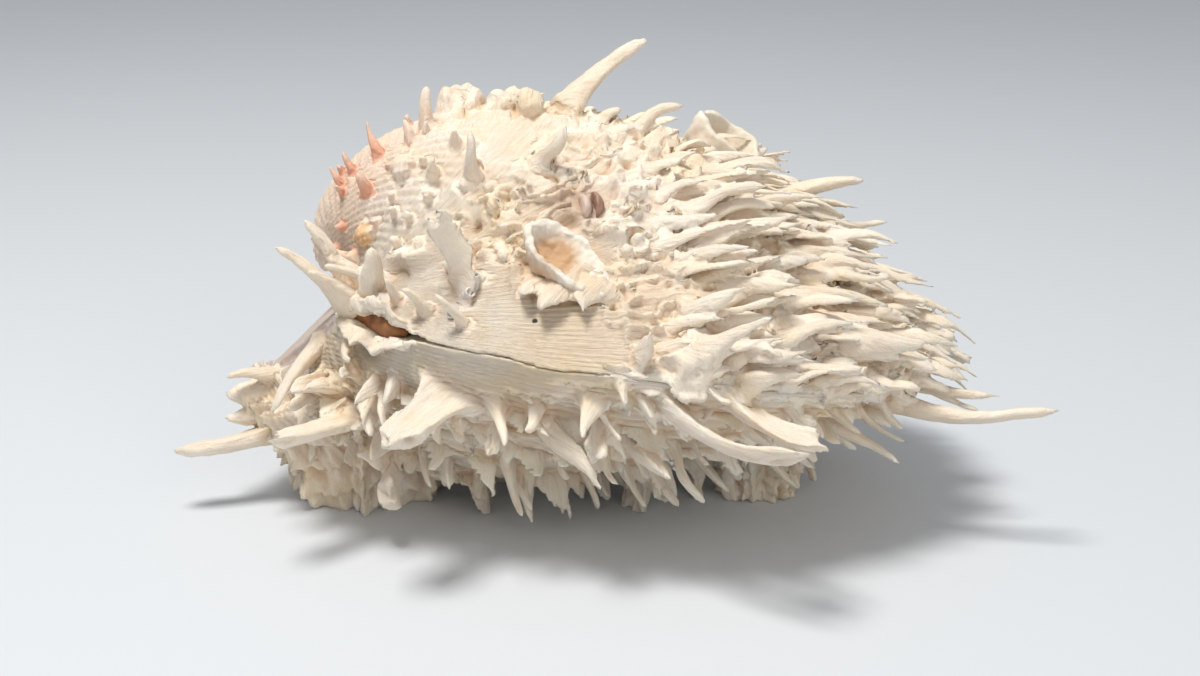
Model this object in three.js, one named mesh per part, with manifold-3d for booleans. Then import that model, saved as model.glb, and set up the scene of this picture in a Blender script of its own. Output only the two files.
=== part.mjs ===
// Spiny oyster shell: two spiny valves closed on each other, the dried ligament of their hinge,
// and the small creatures' shells that grew on the upper valve.
// Units are millimetres and +Z is up. The shell rests at Z = 0 on the flat scar of its
// attachment mass and on its foot spines.
//
// Shell frame: the hinge line lies on the Y axis, the plane where the valves meet is Z = 0,
// and +X points to the lip. Each valve grew as a logarithmic spiral: every growth line is the
// rim made smaller, and turned about the valve's beak.
import * as THREE from 'three';
import { ParametricGeometry } from 'three/addons/geometries/ParametricGeometry.js';
import { mergeVertices } from 'three/addons/utils/BufferGeometryUtils.js';
import Module from 'manifold-3d';

const wasm = await Module();
wasm.setup();

// Driving dimensions.
const RIM_CENTRE = 52; // hinge line to the middle of the rim
const RIM_LENGTH = 57; // half axis of the rim along X
const RIM_WIDTH = 46; // half axis of the rim along Y
const HINGE_ANGLE = Math.acos(-RIM_CENTRE / RIM_LENGTH); // where the rim meets the hinge line
const HINGE_SHARE = 0.1; // share of a growth line that runs along the hinge line
const UPPER = { side: 1, curl: 1.0, beak: new THREE.Vector3(-1, 0, 3) };
const LOWER = { side: -1, curl: 0.47, beak: new THREE.Vector3(-18, 0, -16) };
const FIRST_GROWTH = 0.05; // size of the youngest growth line, as a share of the rim
const CAVITY_FIRST_GROWTH = 0.3;
const CAVITY_INSET = 0.87; // the cavity's outline, as a share of the growth line
const MOUTH_OVERSHOOT = 2; // how far the cavity's cutter runs past the rim
const SEAM_GAP = 0.3;
const PIECE_GAP = 0.3; // between a small piece and the valve that it sits on
const ROOT_DEPTH = 1.6; // how far a spine's root is sunk in its valve
const SMALLEST_STEP = 0.12; // unevenness that a finished solid doesn't keep

// Where the closed shell rests: its lean on the floor and its hinge's place.
const REST_TILT = THREE.MathUtils.degToRad(7);
const REST_ROLL = THREE.MathUtils.degToRad(-6);
const REST_POSITION = new THREE.Vector3(-45.4, 3.7, 39);

const ATTACHMENT_CENTRE = new THREE.Vector3(5, -3, 9); // above the floor, hinge at X = 6
const ATTACHMENT_SIZE = new THREE.Vector3(20, 19, 15);
const FLOOR_BLOCK = 400;

const LIGAMENT_PATH = [[3.5, 14], [3.5, 0], [3.6, -14], [6, -20.5], [11, -26]];
const LIGAMENT_RADIUS = 2;
const GAPE_CENTRE = new THREE.Vector3(6, -26, 0);
const GAPE_SIZE = new THREE.Vector3(8.5, 5.5, 1.7);
const GAPE_TURN = THREE.MathUtils.degToRad(-50);

// Spines. Each row is: angle on the rim in degrees (negative in front), growth line, then the
// tip from the base (out from the surface, ahead to the rim, across to larger angles), the
// widths at the base and the tip, the thickness as a share of the width, and the bow, which is
// how far the spine rises straight out before it bends to its tip.
const UPPER_SPINES = [
  [-6, 0.45, 13, 13, 13, 5, 2.2, 0.8, 6],
  [-16, 0.53, 5, 9, 9, 3.5, 1.8, 0.8, 3],
  [-14, 0.5, 2, 3, 4, 3, 1.6, 0.8, 3],
  [6, 0.67, 7, 4, 3, 4, 1.6, 0.7, 3],
  [-14, 0.67, 4, 4, 1, 3.5, 1.4, 0.7, 2],
  [-4, 0.72, 12, 12, 2, 5.4, 2.2, 0.8, 5],
  [4, 0.8, 10, 8, 0, 3.6, 1, 0.7, 4],
  [2, 0.88, 7, 6, 0, 3.6, 1, 0.7, 3],
  [6, 0.92, 6, 6, 0, 3.4, 1, 0.7, 3],
  [0, 0.96, 5, 6, 0, 3.6, 2, 0.6, 3],
  [-6, 0.97, 4, 4, 1, 3, 1.2, 0.7, 2],
  [-154, 0.83, 14, 2, -6, 5.4, 1.8, 0.8, 6],
  [-146, 0.62, 13, 1, -2, 4.6, 1.8, 0.8, 5],
  [-130, 0.3, 5, -3, 3, 3, 1, 0.8, 3],
  [-136, 0.42, 8, 2, 0, 3.4, 1, 0.8, 3],
  [-140, 0.74, 10, 2, 6, 6, 2.2, 0.9, 4],
  [-132, 0.8, 6, 0, 1, 3.2, 1, 0.8, 3],
  [-124, 0.82, 7, 0, -1, 3, 1.2, 0.8, 3],
  [-116, 0.87, 7, -3, -2, 3, 1, 0.8, 3],
  [-104, 0.65, 12, -4, 1, 7, 4.4, 0.5, 4],
  [-72, 0.44, 8, 0, 6, 4.4, 1.6, 0.8, 4],
  [-40, 0.24, 4, 1, 5, 2.4, 0.6, 0.9, 2],
  [-42, 0.2, 2, 1, 3, 2, 0.6, 0.9, 1],
  [-48, 0.18, 2, 1, 3, 2, 0.6, 0.9, 1],
  [-70, 0.24, 3, 1, 2, 2.4, 0.6, 0.9, 1],
  [-40, 0.29, 3, 0, 3, 2.4, 0.6, 0.9, 1],
  [-26, 0.3, 6, 2, 4, 3.4, 1.4, 0.9, 3],
  [-70, 0.36, 4, 2, 2, 3.4, 0.8, 0.9, 2],
  [-48, 0.36, 4, 1, 0, 3.4, 0.8, 0.9, 2],
  [-56, 0.5, 7, 3, 4, 4.6, 2, 0.8, 4],
  [-76, 0.94, 12, 4, 9, 6.5, 1.4, 0.7, 7],
  [-86, 0.95, 6, -2, 1, 4.6, 1.6, 0.5, 3],
  [-86, 0.78, 4, 1, -9, 7, 4, 0.3, 2],
  [-72, 0.86, 9, 4, 7, 5, 1.4, 0.5, 5],
  [-66, 0.91, 8, 8, 0, 4, 1.2, 0.6, 4],
  [-44, 0.92, 8, 11, 7, 6, 2.6, 0.4, 4],
  [-60, 0.81, 8, 10, 6, 5, 2, 0.5, 4],
];

const LOWER_SPINES = [
  [-32, 0.14, 15, -20, -5, 6, 2.6, 0.7, 3],
  [-108, 0.48, 18, -3, -9, 6, 3.6, 0.6, 6],
  [-150, 0.23, 7, -5, 3, 4, 1.6, 0.8, 3],
  [-156, 0.69, 9, -2, 14, 5, 1.8, 0.7, 4],
  [-100, 0.1, 5, -5, 2, 4, 1.4, 0.8, 2],
  [-62, 0.1, 7, -6, 2, 4, 1.6, 0.8, 2],
  [-146, 0.84, 3, 4, 5, 4, 1.4, 0.7, 2],
  [-128, 0.53, 8, 0, -3, 4, 1.4, 0.8, 3],
  [-110, 0.76, 16, 2, -5, 9, 6, 0.45, 8],
  [-94, 0.44, 9, 2, -3, 4.6, 2, 0.7, 3],
  [-70, 0.35, 11, 5, -4, 6.6, 5.4, 0.5, 5],
  [-86, 0.33, 7, 2, -2, 4, 1.6, 0.7, 3],
  [-100, 0.78, 10, 5, 1, 4.4, 1.2, 0.8, 4],
  [-90, 0.67, 7, 1, -1, 3.6, 1.2, 0.8, 3],
  [-94, 0.82, 7, 1, -2, 3.6, 1.4, 0.8, 3],
  [-84, 0.74, 13, 11, 2, 5.4, 2, 0.5, 5],
  [-90, 0.9, 10, 2, -3, 5, 1.2, 0.8, 5],
  [-80, 0.81, 9, 2, -4, 4.6, 3, 0.7, 4],
  [-66, 0.75, 11, 10, -4, 5, 2.4, 0.6, 4],
  [-90, 0.97, 4, 1, 0, 3.4, 1.2, 0.7, 2],
  [-80, 0.9, 6, 2, 0, 4, 1.4, 0.7, 3],
  [-78, 0.91, 14, 22, 4, 5.4, 3, 0.5, 9],
  [-70, 0.96, 12, 14, 1, 4.6, 2.4, 0.6, 6],
  [-44, 0.84, 10, 8, -5, 4, 1.6, 0.7, 4],
  [-56, 0.95, 5, 3, -1, 3.6, 1.4, 0.7, 3],
  [-42, 0.93, 6, 4, -1, 3.6, 1.2, 0.7, 3],
  [-30, 0.88, 12, 10, -4, 4, 1.6, 0.7, 5],
  [-36, 0.88, 6, 4, -3, 3.6, 1.2, 0.7, 3],
  [-28, 0.94, 13, 31, 0, 4.6, 1.4, 0.7, 8],
  [-20, 0.98, 8, 12, 3, 3.6, 1.8, 0.7, 4],
  [-14, 0.97, 10, 9, 2, 3.4, 1.4, 0.7, 4],
  [-34, 0.96, 7, 3, -1, 3.4, 1.2, 0.7, 3],
];

// Where foot spines reach down to the floor: angle, growth line, width.
const FOOT_SPINES = [
  [-14, 0.58, 5], [-20, 0.6, 4], [-6, 0.67, 4], [-7, 0.72, 5], [-9, 0.75, 5.5],
  [-5, 0.78, 5], [4, 0.81, 5], [38, 0.74, 5], [27, 0.8, 5], [48, 0.56, 4.5],
];

// Rows of ordinary leaves and thorns that fill each valve: growth line, first and last angle,
// count, length, width at the base, lean (0 stands straight out, 1 lies ahead), flatness.
const UPPER_ROWS = [
  [0.58, -10, 110, 5, 7, 3.6, 0.7, 0.6],
  [0.7, -48, 120, 6, 10, 4, 0.8, 0.5],
  [0.79, -30, 130, 8, 11, 4.2, 0.8, 0.5],
  [0.88, -52, 140, 8, 11, 4, 0.75, 0.5],
  [0.96, -50, 140, 9, 9, 3.6, 0.6, 0.6],
];
const LOWER_ROWS = [
  [0.3, -110, 120, 6, 9, 4.4, 0.3, 0.6],
  [0.48, -90, 140, 6, 10, 4.4, 0.35, 0.6],
  [0.64, -110, 130, 7, 10, 4.2, 0.4, 0.6],
  [0.78, -60, 140, 7, 11, 4.2, 0.5, 0.6],
  [0.9, -114, 140, 9, 10, 4, 0.5, 0.6],
  [0.97, -120, 140, 8, 6, 3.6, 0.6, 0.6],
];
const SPINE_SIDES = 5;
const SPINE_RINGS = 2;
const ROW_SIDES = 4;
const ROW_RINGS = 1;

// Worn knobs on the crest of the upper valve: angle, growth line, radius, height.
const KNOBS = [
  [6, 0.33, 4.2, 4.6],
  [-8, 0.38, 2.6, 3],
  [-14, 0.42, 2.8, 3.6],
  [18, 0.4, 3.2, 3.4],
  [-62, 0.3, 2.6, 2],
];

// Small pieces on the upper valve: angle and growth line of the seat.
const MIDDLE_CUP = { angle: -82, growth: 0.71, radius: 6.6, height: 7, lean: [-0.2, -0.5], sink: 0.9 };
const FAR_CUP = { angle: 8, growth: 0.64, radius: 6, height: 7, lean: [0.3, 0.4], sink: 0.9 };
const CUP_WALL = 1;
const NESTLER = { angle: -63, growth: 0.61, radius: 3.2, plate: 0.8, parting: 0.9, sink: 0.8 };
const WORM_SEAT = { angle: -110, growth: 0.735, sink: 0.6 };
const WORM_TUBES = [[0, 0, 1.5, 3.4], [2.1, 1, 1.2, 2.8], [-1.6, 1.7, 1.1, 2.4]];
const WORM_BORE = 0.55; // a tube's bore, as a share of its radius

// Growth of a valve.

function rimPoint(angle) {
  return new THREE.Vector3(
    RIM_CENTRE + RIM_LENGTH * Math.cos(angle),
    RIM_WIDTH * Math.sin(angle),
    0,
  );
}

// One point of the closed growth line: around the rim, then back along the hinge line.
function outlinePoint(share) {
  const rimShare = 1 - HINGE_SHARE;
  if (share <= rimShare) {
    return rimPoint(HINGE_ANGLE * ((2 * share) / rimShare - 1));
  }
  const along = (share - rimShare) / HINGE_SHARE;
  return rimPoint(HINGE_ANGLE).lerp(rimPoint(-HINGE_ANGLE), along);
}

function grow(valve, growth, point) {
  const turn = valve.side * valve.curl * Math.log(growth);
  return point
    .sub(valve.beak)
    .applyAxisAngle(new THREE.Vector3(0, 1, 0), turn)
    .multiplyScalar(growth)
    .add(valve.beak);
}

function valvePoint(valve, growth, angle) {
  return grow(valve, growth, rimPoint(angle));
}

// The frame of a place on a valve: X ahead to the rim, Y across to larger angles, Z out.
function seat(valve, degrees, growth) {
  const angle = THREE.MathUtils.degToRad(degrees);
  const place = valvePoint(valve, growth, angle);
  const ahead = valvePoint(valve, growth + 0.004, angle).sub(place).normalize();
  const around = valvePoint(valve, growth, angle + 0.01).sub(place);
  const out = ahead.clone().cross(around).multiplyScalar(valve.side).normalize();
  const across = out.clone().cross(ahead).multiplyScalar(valve.side);
  return { place, ahead, across, out };
}

function fromSeat(frame, out, ahead, across) {
  return frame.place
    .clone()
    .addScaledVector(frame.out, out)
    .addScaledVector(frame.ahead, ahead)
    .addScaledVector(frame.across, across);
}

function seatMatrix(frame) {
  return new THREE.Matrix4().makeBasis(frame.ahead, frame.across, frame.out).setPosition(frame.place);
}

// Solids.

function toSolid(geometry) {
  const bare = geometry.clone();
  bare.deleteAttribute('normal');
  bare.deleteAttribute('uv');
  const merged = mergeVertices(bare, 1e-4);
  const index = merged.index.array;
  const triangles = [];
  for (let i = 0; i < index.length; i += 3) {
    const [a, b, c] = index.slice(i, i + 3);
    if (a !== b && b !== c && c !== a) {
      triangles.push(a, b, c);
    }
  }
  const mesh = new wasm.Mesh({
    numProp: 3,
    vertProperties: new Float32Array(merged.attributes.position.array),
    triVerts: new Uint32Array(triangles),
  });
  const solid = new wasm.Manifold(mesh);
  return solid.volume() < 0 ? flipped(mesh) : solid;
}

function flipped(mesh) {
  const turned = mesh.triVerts.slice();
  for (let i = 0; i < turned.length; i += 3) {
    [turned[i], turned[i + 1]] = [turned[i + 1], turned[i]];
  }
  return new wasm.Manifold(
    new wasm.Mesh({ numProp: 3, vertProperties: mesh.vertProperties, triVerts: turned }),
  );
}

function toGeometry(solid) {
  const mesh = solid.getMesh();
  const geometry = new THREE.BufferGeometry();
  geometry.setAttribute('position', new THREE.BufferAttribute(mesh.vertProperties, 3));
  geometry.setIndex(new THREE.BufferAttribute(mesh.triVerts, 1));
  geometry.computeVertexNormals();
  return geometry;
}

function union(solids) {
  return solids.reduce((whole, solid) => whole.add(solid));
}

// A closed horn: a fan at the beak, growth lines to the rim, and a flat fan across the mouth.
function hornGeometry(valve, inset, firstGrowth, overshoot, around, rings) {
  const middle = new THREE.Vector3(RIM_CENTRE, 0, 0);
  const stations = rings + (overshoot > 0 ? 3 : 2);
  return new ParametricGeometry(
    (u, v, target) => {
      const station = Math.round(v * stations);
      const ring = THREE.MathUtils.clamp(station - 1, 0, rings);
      const growth = firstGrowth ** (1 - ring / rings);
      const centred = station === 0 || station === stations;
      const point = centred ? middle.clone() : outlinePoint(u % 1).sub(middle).multiplyScalar(inset).add(middle);
      target.copy(grow(valve, growth, point));
      if (station > rings + 1) {
        target.z -= valve.side * overshoot;
      }
    },
    around,
    stations,
  );
}

// A round or flattened horn along a curve, closed at both ends.
function bentGeometry(curve, out, startRadius, endRadius, thickness, sides, rings) {
  const geometry = new THREE.CylinderGeometry(endRadius, startRadius, 1, sides, rings);
  const position = geometry.attributes.position;
  const vertex = new THREE.Vector3();
  for (let i = 0; i < position.count; i += 1) {
    vertex.fromBufferAttribute(position, i);
    const along = vertex.y + 0.5;
    const tangent = curve.getTangent(along);
    const side = tangent.clone().cross(out).normalize();
    const face = side.clone().cross(tangent);
    const point = curve.getPoint(along);
    point.addScaledVector(side, vertex.x).addScaledVector(face, vertex.z * thickness);
    position.setXYZ(i, point.x, point.y, point.z);
  }
  return geometry;
}

function spine(valve, row, sides, rings) {
  const [degrees, growth, out, ahead, across, width, tipWidth, thickness, bow] = row;
  const frame = seat(valve, degrees, growth);
  const root = fromSeat(frame, -ROOT_DEPTH, 0, 0);
  const bend = fromSeat(frame, bow, 0.25 * ahead, 0.25 * across);
  const tip = fromSeat(frame, out, ahead, across);
  const curve = new THREE.QuadraticBezierCurve3(root, bend, tip);
  const upright = frame.out.clone().addScaledVector(frame.ahead, -0.3);
  return toSolid(bentGeometry(curve, upright, width / 2, tipWidth / 2, thickness, sides, rings));
}

// A small repeatable source of unevenness.
function randomSource(seed) {
  let state = seed;
  return () => {
    state = (state * 1664525 + 1013904223) % 4294967296;
    return state / 4294967296;
  };
}

// An ordinary row stays clear of the small pieces' seats.
function seatIsFree(valve, degrees, growth) {
  if (valve === LOWER) {
    return true;
  }
  const place = seat(valve, degrees, growth).place;
  return [MIDDLE_CUP, FAR_CUP, NESTLER, WORM_SEAT].every((piece) => {
    const other = seat(UPPER, piece.angle, piece.growth).place;
    return place.distanceTo(other) > (piece.radius ?? 3) + 3;
  });
}

function rowSpines(valve, rows, seed) {
  const random = randomSource(seed);
  const spines = [];
  for (const [growth, first, last, count, length, width, lean, thickness] of rows) {
    for (let i = 0; i < count; i += 1) {
      const degrees = first + ((last - first) * (i + 0.5 * random())) / (count - 0.5);
      const line = growth + 0.04 * (random() - 0.5);
      const reach = length * (0.75 + 0.5 * random());
      const slope = lean * (0.8 + 0.4 * random()) * 0.5 * Math.PI * 0.75;
      const out = reach * Math.cos(slope);
      const ahead = reach * Math.sin(slope);
      const across = 2 * (random() - 0.5) * 0.2 * reach;
      const row = [degrees, line, out, ahead, across, width, 0.25 * width, thickness, 0.45 * reach];
      if (seatIsFree(valve, degrees, line)) {
        spines.push(spine(valve, row, ROW_SIDES, ROW_RINGS));
      }
    }
  }
  return spines;
}

function knob([degrees, growth, radius, height]) {
  const geometry = new THREE.SphereGeometry(1, 7, 5);
  geometry.scale(radius, radius, height);
  return toSolid(geometry.applyMatrix4(seatMatrix(seat(UPPER, degrees, growth))));
}

function shellMatrix() {
  const rotation = new THREE.Euler(REST_ROLL, REST_TILT, 0);
  const size = new THREE.Vector3(1, 1, 1);
  return new THREE.Matrix4().compose(REST_POSITION, new THREE.Quaternion().setFromEuler(rotation), size);
}

// The space under the floor, in the shell frame.
function underFloor() {
  const block = new THREE.BoxGeometry(FLOOR_BLOCK, FLOOR_BLOCK, FLOOR_BLOCK);
  block.translate(0, 0, -FLOOR_BLOCK / 2);
  return toSolid(block.applyMatrix4(shellMatrix().invert()));
}

// The half of space on the other valve's side of the seam.
function pastSeam(valve) {
  const block = new THREE.BoxGeometry(FLOOR_BLOCK, FLOOR_BLOCK, FLOOR_BLOCK);
  block.translate(0, 0, -valve.side * (FLOOR_BLOCK / 2 - SEAM_GAP / 2));
  return toSolid(block);
}

function footSpine([degrees, growth, width]) {
  const toWorld = shellMatrix();
  const frame = seat(LOWER, degrees, growth);
  const height = frame.place.clone().applyMatrix4(toWorld).z;
  const down = new THREE.Vector3(0, 0, -1).transformDirection(toWorld.clone().invert());
  const root = fromSeat(frame, -ROOT_DEPTH, 0, 0);
  const tip = frame.place.clone().addScaledVector(down, height + 1);
  const curve = new THREE.LineCurve3(root, tip);
  return toSolid(bentGeometry(curve, frame.ahead, width / 2, 0.38 * width, 0.8, ROW_SIDES, 1));
}

function attachmentMass() {
  const geometry = new THREE.SphereGeometry(1, 14, 9);
  geometry.rotateX(Math.PI / 2);
  geometry.scale(ATTACHMENT_SIZE.x, ATTACHMENT_SIZE.y, ATTACHMENT_SIZE.z);
  const inRow = ATTACHMENT_CENTRE.clone();
  inRow.x += REST_POSITION.x - 6;
  inRow.y += REST_POSITION.y;
  geometry.translate(inRow.x, inRow.y, inRow.z);
  return toSolid(geometry.applyMatrix4(shellMatrix().invert()));
}

function ligamentGeometry(radius, lengthen) {
  const points = LIGAMENT_PATH.map(([x, y]) => new THREE.Vector3(x, y, 0));
  points[0].y += lengthen;
  points[points.length - 1].addScaledVector(new THREE.Vector3(0.7, -0.7, 0), lengthen);
  const curve = new THREE.CatmullRomCurve3(points);
  return bentGeometry(curve, new THREE.Vector3(0, 0, 1), radius, radius, 1, 10, 12);
}

function gape() {
  const geometry = new THREE.SphereGeometry(1, 12, 8);
  geometry.scale(GAPE_SIZE.x, GAPE_SIZE.y, GAPE_SIZE.z);
  geometry.rotateZ(GAPE_TURN);
  return toSolid(geometry.translate(GAPE_CENTRE.x, GAPE_CENTRE.y, GAPE_CENTRE.z));
}

function cavity(valve) {
  return toSolid(hornGeometry(valve, CAVITY_INSET, CAVITY_FIRST_GROWTH, MOUTH_OVERSHOOT, 20, 4));
}

// The valve without its cavity and cuts.
function grownValve(valve, spines, extras) {
  const horn = toSolid(hornGeometry(valve, 1, FIRST_GROWTH, 0, 28, 10));
  const rows = spines.map((row) => spine(valve, row, SPINE_SIDES, SPINE_RINGS));
  return union([horn, ...rows, ...extras]);
}

function hinged(valve, solid) {
  const groove = toSolid(ligamentGeometry(LIGAMENT_RADIUS + PIECE_GAP, PIECE_GAP + 0.2));
  return solid.subtract(pastSeam(valve)).subtract(groove).subtract(gape());
}

function lowerValve() {
  const extras = [
    attachmentMass(),
    ...FOOT_SPINES.map(footSpine),
    ...rowSpines(LOWER, LOWER_ROWS, 11),
  ];
  const solid = grownValve(LOWER, LOWER_SPINES, extras).subtract(cavity(LOWER));
  return hinged(LOWER, solid).subtract(underFloor());
}

function upperValve(clearances) {
  const extras = [...KNOBS.map(knob), ...rowSpines(UPPER, UPPER_ROWS, 5)];
  const solid = grownValve(UPPER, UPPER_SPINES, extras).subtract(cavity(UPPER));
  return clearances.reduce((valve, clearance) => valve.subtract(clearance), hinged(UPPER, solid));
}

// Small pieces. Each gives its own solid, and the room that the valve leaves for it.

// A cup opens along Z from its seat: outside wall, lip, and inside wall.
function cupProfile(cup, spare) {
  const outer = cup.radius + spare;
  const points = [new THREE.Vector2(0, -spare)];
  points.push(new THREE.Vector2(0.45 * outer, 0.02 * cup.height - spare));
  points.push(new THREE.Vector2(0.8 * outer, 0.32 * cup.height));
  points.push(new THREE.Vector2(outer, cup.height + spare));
  if (spare > 0) {
    points.push(new THREE.Vector2(0, cup.height + spare));
    return points;
  }
  points.push(new THREE.Vector2(outer - CUP_WALL, cup.height));
  points.push(new THREE.Vector2(0.75 * outer - CUP_WALL, 0.4 * cup.height));
  points.push(new THREE.Vector2(0.3 * outer, CUP_WALL + 0.1 * cup.height));
  points.push(new THREE.Vector2(0, CUP_WALL + 0.06 * cup.height));
  return points;
}

function cupSolid(cup, spare) {
  const geometry = new THREE.LatheGeometry(cupProfile(cup, spare), 13);
  geometry.rotateX(Math.PI / 2);
  geometry.scale(1.1, 0.9, 1);
  geometry.rotateY(cup.lean[0]);
  geometry.rotateX(cup.lean[1]);
  geometry.translate(0, 0, -cup.sink);
  return toSolid(geometry.applyMatrix4(seatMatrix(seat(UPPER, cup.angle, cup.growth))));
}

// One plate of the nestler: half of a thin lens that stands on edge, on one side of its slit.
function nestlerPlate(side, spare) {
  const geometry = new THREE.SphereGeometry(1, 12, 8);
  const thickness = NESTLER.plate + spare;
  geometry.scale(NESTLER.radius + spare, thickness, NESTLER.radius + spare);
  geometry.rotateZ(-0.6);
  const aside = side * NESTLER.parting;
  geometry.translate(-aside * Math.sin(-0.6), aside * Math.cos(-0.6), NESTLER.sink);
  return toSolid(geometry.applyMatrix4(seatMatrix(seat(UPPER, NESTLER.angle, NESTLER.growth))));
}

function wormTube([x, y, radius, height], spare) {
  const geometry = new THREE.CylinderGeometry(radius + spare, radius + spare, height + spare, 8);
  geometry.rotateX(Math.PI / 2);
  geometry.translate(x, y, (height - spare) / 2 - WORM_SEAT.sink);
  return toSolid(geometry.applyMatrix4(seatMatrix(seat(UPPER, WORM_SEAT.angle, WORM_SEAT.growth))));
}

function wormBore([x, y, radius, height]) {
  const geometry = new THREE.CylinderGeometry(WORM_BORE * radius, WORM_BORE * radius, height, 6);
  geometry.rotateX(Math.PI / 2);
  geometry.translate(x, y, height / 2 + 1 - WORM_SEAT.sink);
  return toSolid(geometry.applyMatrix4(seatMatrix(seat(UPPER, WORM_SEAT.angle, WORM_SEAT.growth))));
}

function wormCluster(spare) {
  const tubes = union(WORM_TUBES.map((tube) => wormTube(tube, spare)));
  return spare > 0 ? tubes : tubes.subtract(union(WORM_TUBES.map(wormBore)));
}

// The finished pieces.

function shellMaterial(colour, roughness) {
  return new THREE.MeshStandardMaterial({ color: colour, roughness, metalness: 0 });
}

function piece(name, solid, material) {
  const mesh = new THREE.Mesh(toGeometry(solid.simplify(SMALLEST_STEP)), material);
  mesh.name = name;
  return mesh;
}

const spatColour = shellMaterial(0xf0e2cf, 0.75);
const nestlerColour = shellMaterial(0xc9a89a, 0.6);
const pieces = [
  piece('lower_valve', lowerValve(), shellMaterial(0xece0cc, 0.85)),
  piece(
    'upper_valve',
    upperValve([
      cupSolid(MIDDLE_CUP, PIECE_GAP),
      cupSolid(FAR_CUP, PIECE_GAP),
      nestlerPlate(1, PIECE_GAP),
      nestlerPlate(-1, PIECE_GAP),
      wormCluster(PIECE_GAP),
    ]),
    shellMaterial(0xf1e6d4, 0.85),
  ),
  piece('hinge_ligament', toSolid(ligamentGeometry(LIGAMENT_RADIUS, 0)), shellMaterial(0x9c6030, 0.6)),
  piece('spat_cup_middle', cupSolid(MIDDLE_CUP, 0), spatColour),
  piece('spat_cup_far', cupSolid(FAR_CUP, 0), spatColour),
  piece('worm_tubes', wormCluster(0), shellMaterial(0xb4acb4, 0.8)),
  piece('nestler_left', nestlerPlate(-1, 0), nestlerColour),
  piece('nestler_right', nestlerPlate(1, 0), nestlerColour),
];

const shell = new THREE.Group();
shell.add(...pieces);
shell.position.copy(REST_POSITION);
shell.rotation.set(REST_ROLL, REST_TILT, 0);

const group = new THREE.Group();
group.add(shell);

export default group;
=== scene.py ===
"""Spiny oyster shell: the looks of its two valves, its ligament and the small shells grown on it.

The shell is worked out in its own frame, in millimetres: the hinge line on Y, the plane where
the valves meet at Z = 0, and +X to the lip. Every growth line of a valve is its rim made
smaller and turned about the valve's beak. rest() then lays it on the floor, in metres.
"""

import math

import bpy
import numpy as np
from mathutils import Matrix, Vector
from mathutils.bvhtree import BVHTree


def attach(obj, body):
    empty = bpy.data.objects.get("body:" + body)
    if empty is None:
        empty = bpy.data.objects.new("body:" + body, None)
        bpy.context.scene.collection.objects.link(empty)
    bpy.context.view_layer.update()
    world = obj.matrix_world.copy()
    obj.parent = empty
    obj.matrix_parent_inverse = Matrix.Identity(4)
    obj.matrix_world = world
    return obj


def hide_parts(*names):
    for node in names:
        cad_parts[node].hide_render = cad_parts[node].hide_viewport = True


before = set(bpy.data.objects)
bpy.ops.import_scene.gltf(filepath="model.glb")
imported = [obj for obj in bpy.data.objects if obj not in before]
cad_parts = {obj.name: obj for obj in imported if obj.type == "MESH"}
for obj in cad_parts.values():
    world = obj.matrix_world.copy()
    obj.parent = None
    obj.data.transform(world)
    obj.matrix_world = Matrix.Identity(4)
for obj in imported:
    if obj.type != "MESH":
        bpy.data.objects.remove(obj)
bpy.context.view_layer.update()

# ---------------------------------------------------------------- sizes, in millimetres
RIM_CENTRE = 52.0
RIM_LENGTH = 57.0
RIM_WIDTH = 46.0
HINGE_ANGLE = math.acos(-RIM_CENTRE / RIM_LENGTH)
HINGE_SHARE = 0.1
FIRST_GROWTH = 0.045
SEAM_GAP = 0.16
ROOT_DEPTH = 1.8
REST_TILT = math.radians(7)
REST_ROLL = math.radians(-6)
REST_POSITION = np.array([-45.4, 3.7, 39.0])
STRAND_SCALE = 150.0  # millimetres from growth line 0 to 1, as the skin's strands count them
LAST_SEATED_GROWTH = 0.985  # what stands on a growth line keeps this far back from the rim
VOXEL = 0.38
MOST_TRIANGLES = 190_000


class Valve:
    """One half of the shell: which side of the seam it is on, how fast it curls, its beak."""

    def __init__(self, side, curl, beak):
        self.side = side
        self.curl = curl
        self.beak = np.array(beak, float)


UPPER = Valve(1, 1.0, (-1, 0, 3))
LOWER = Valve(-1, 0.47, (-18, 0, -16))

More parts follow.
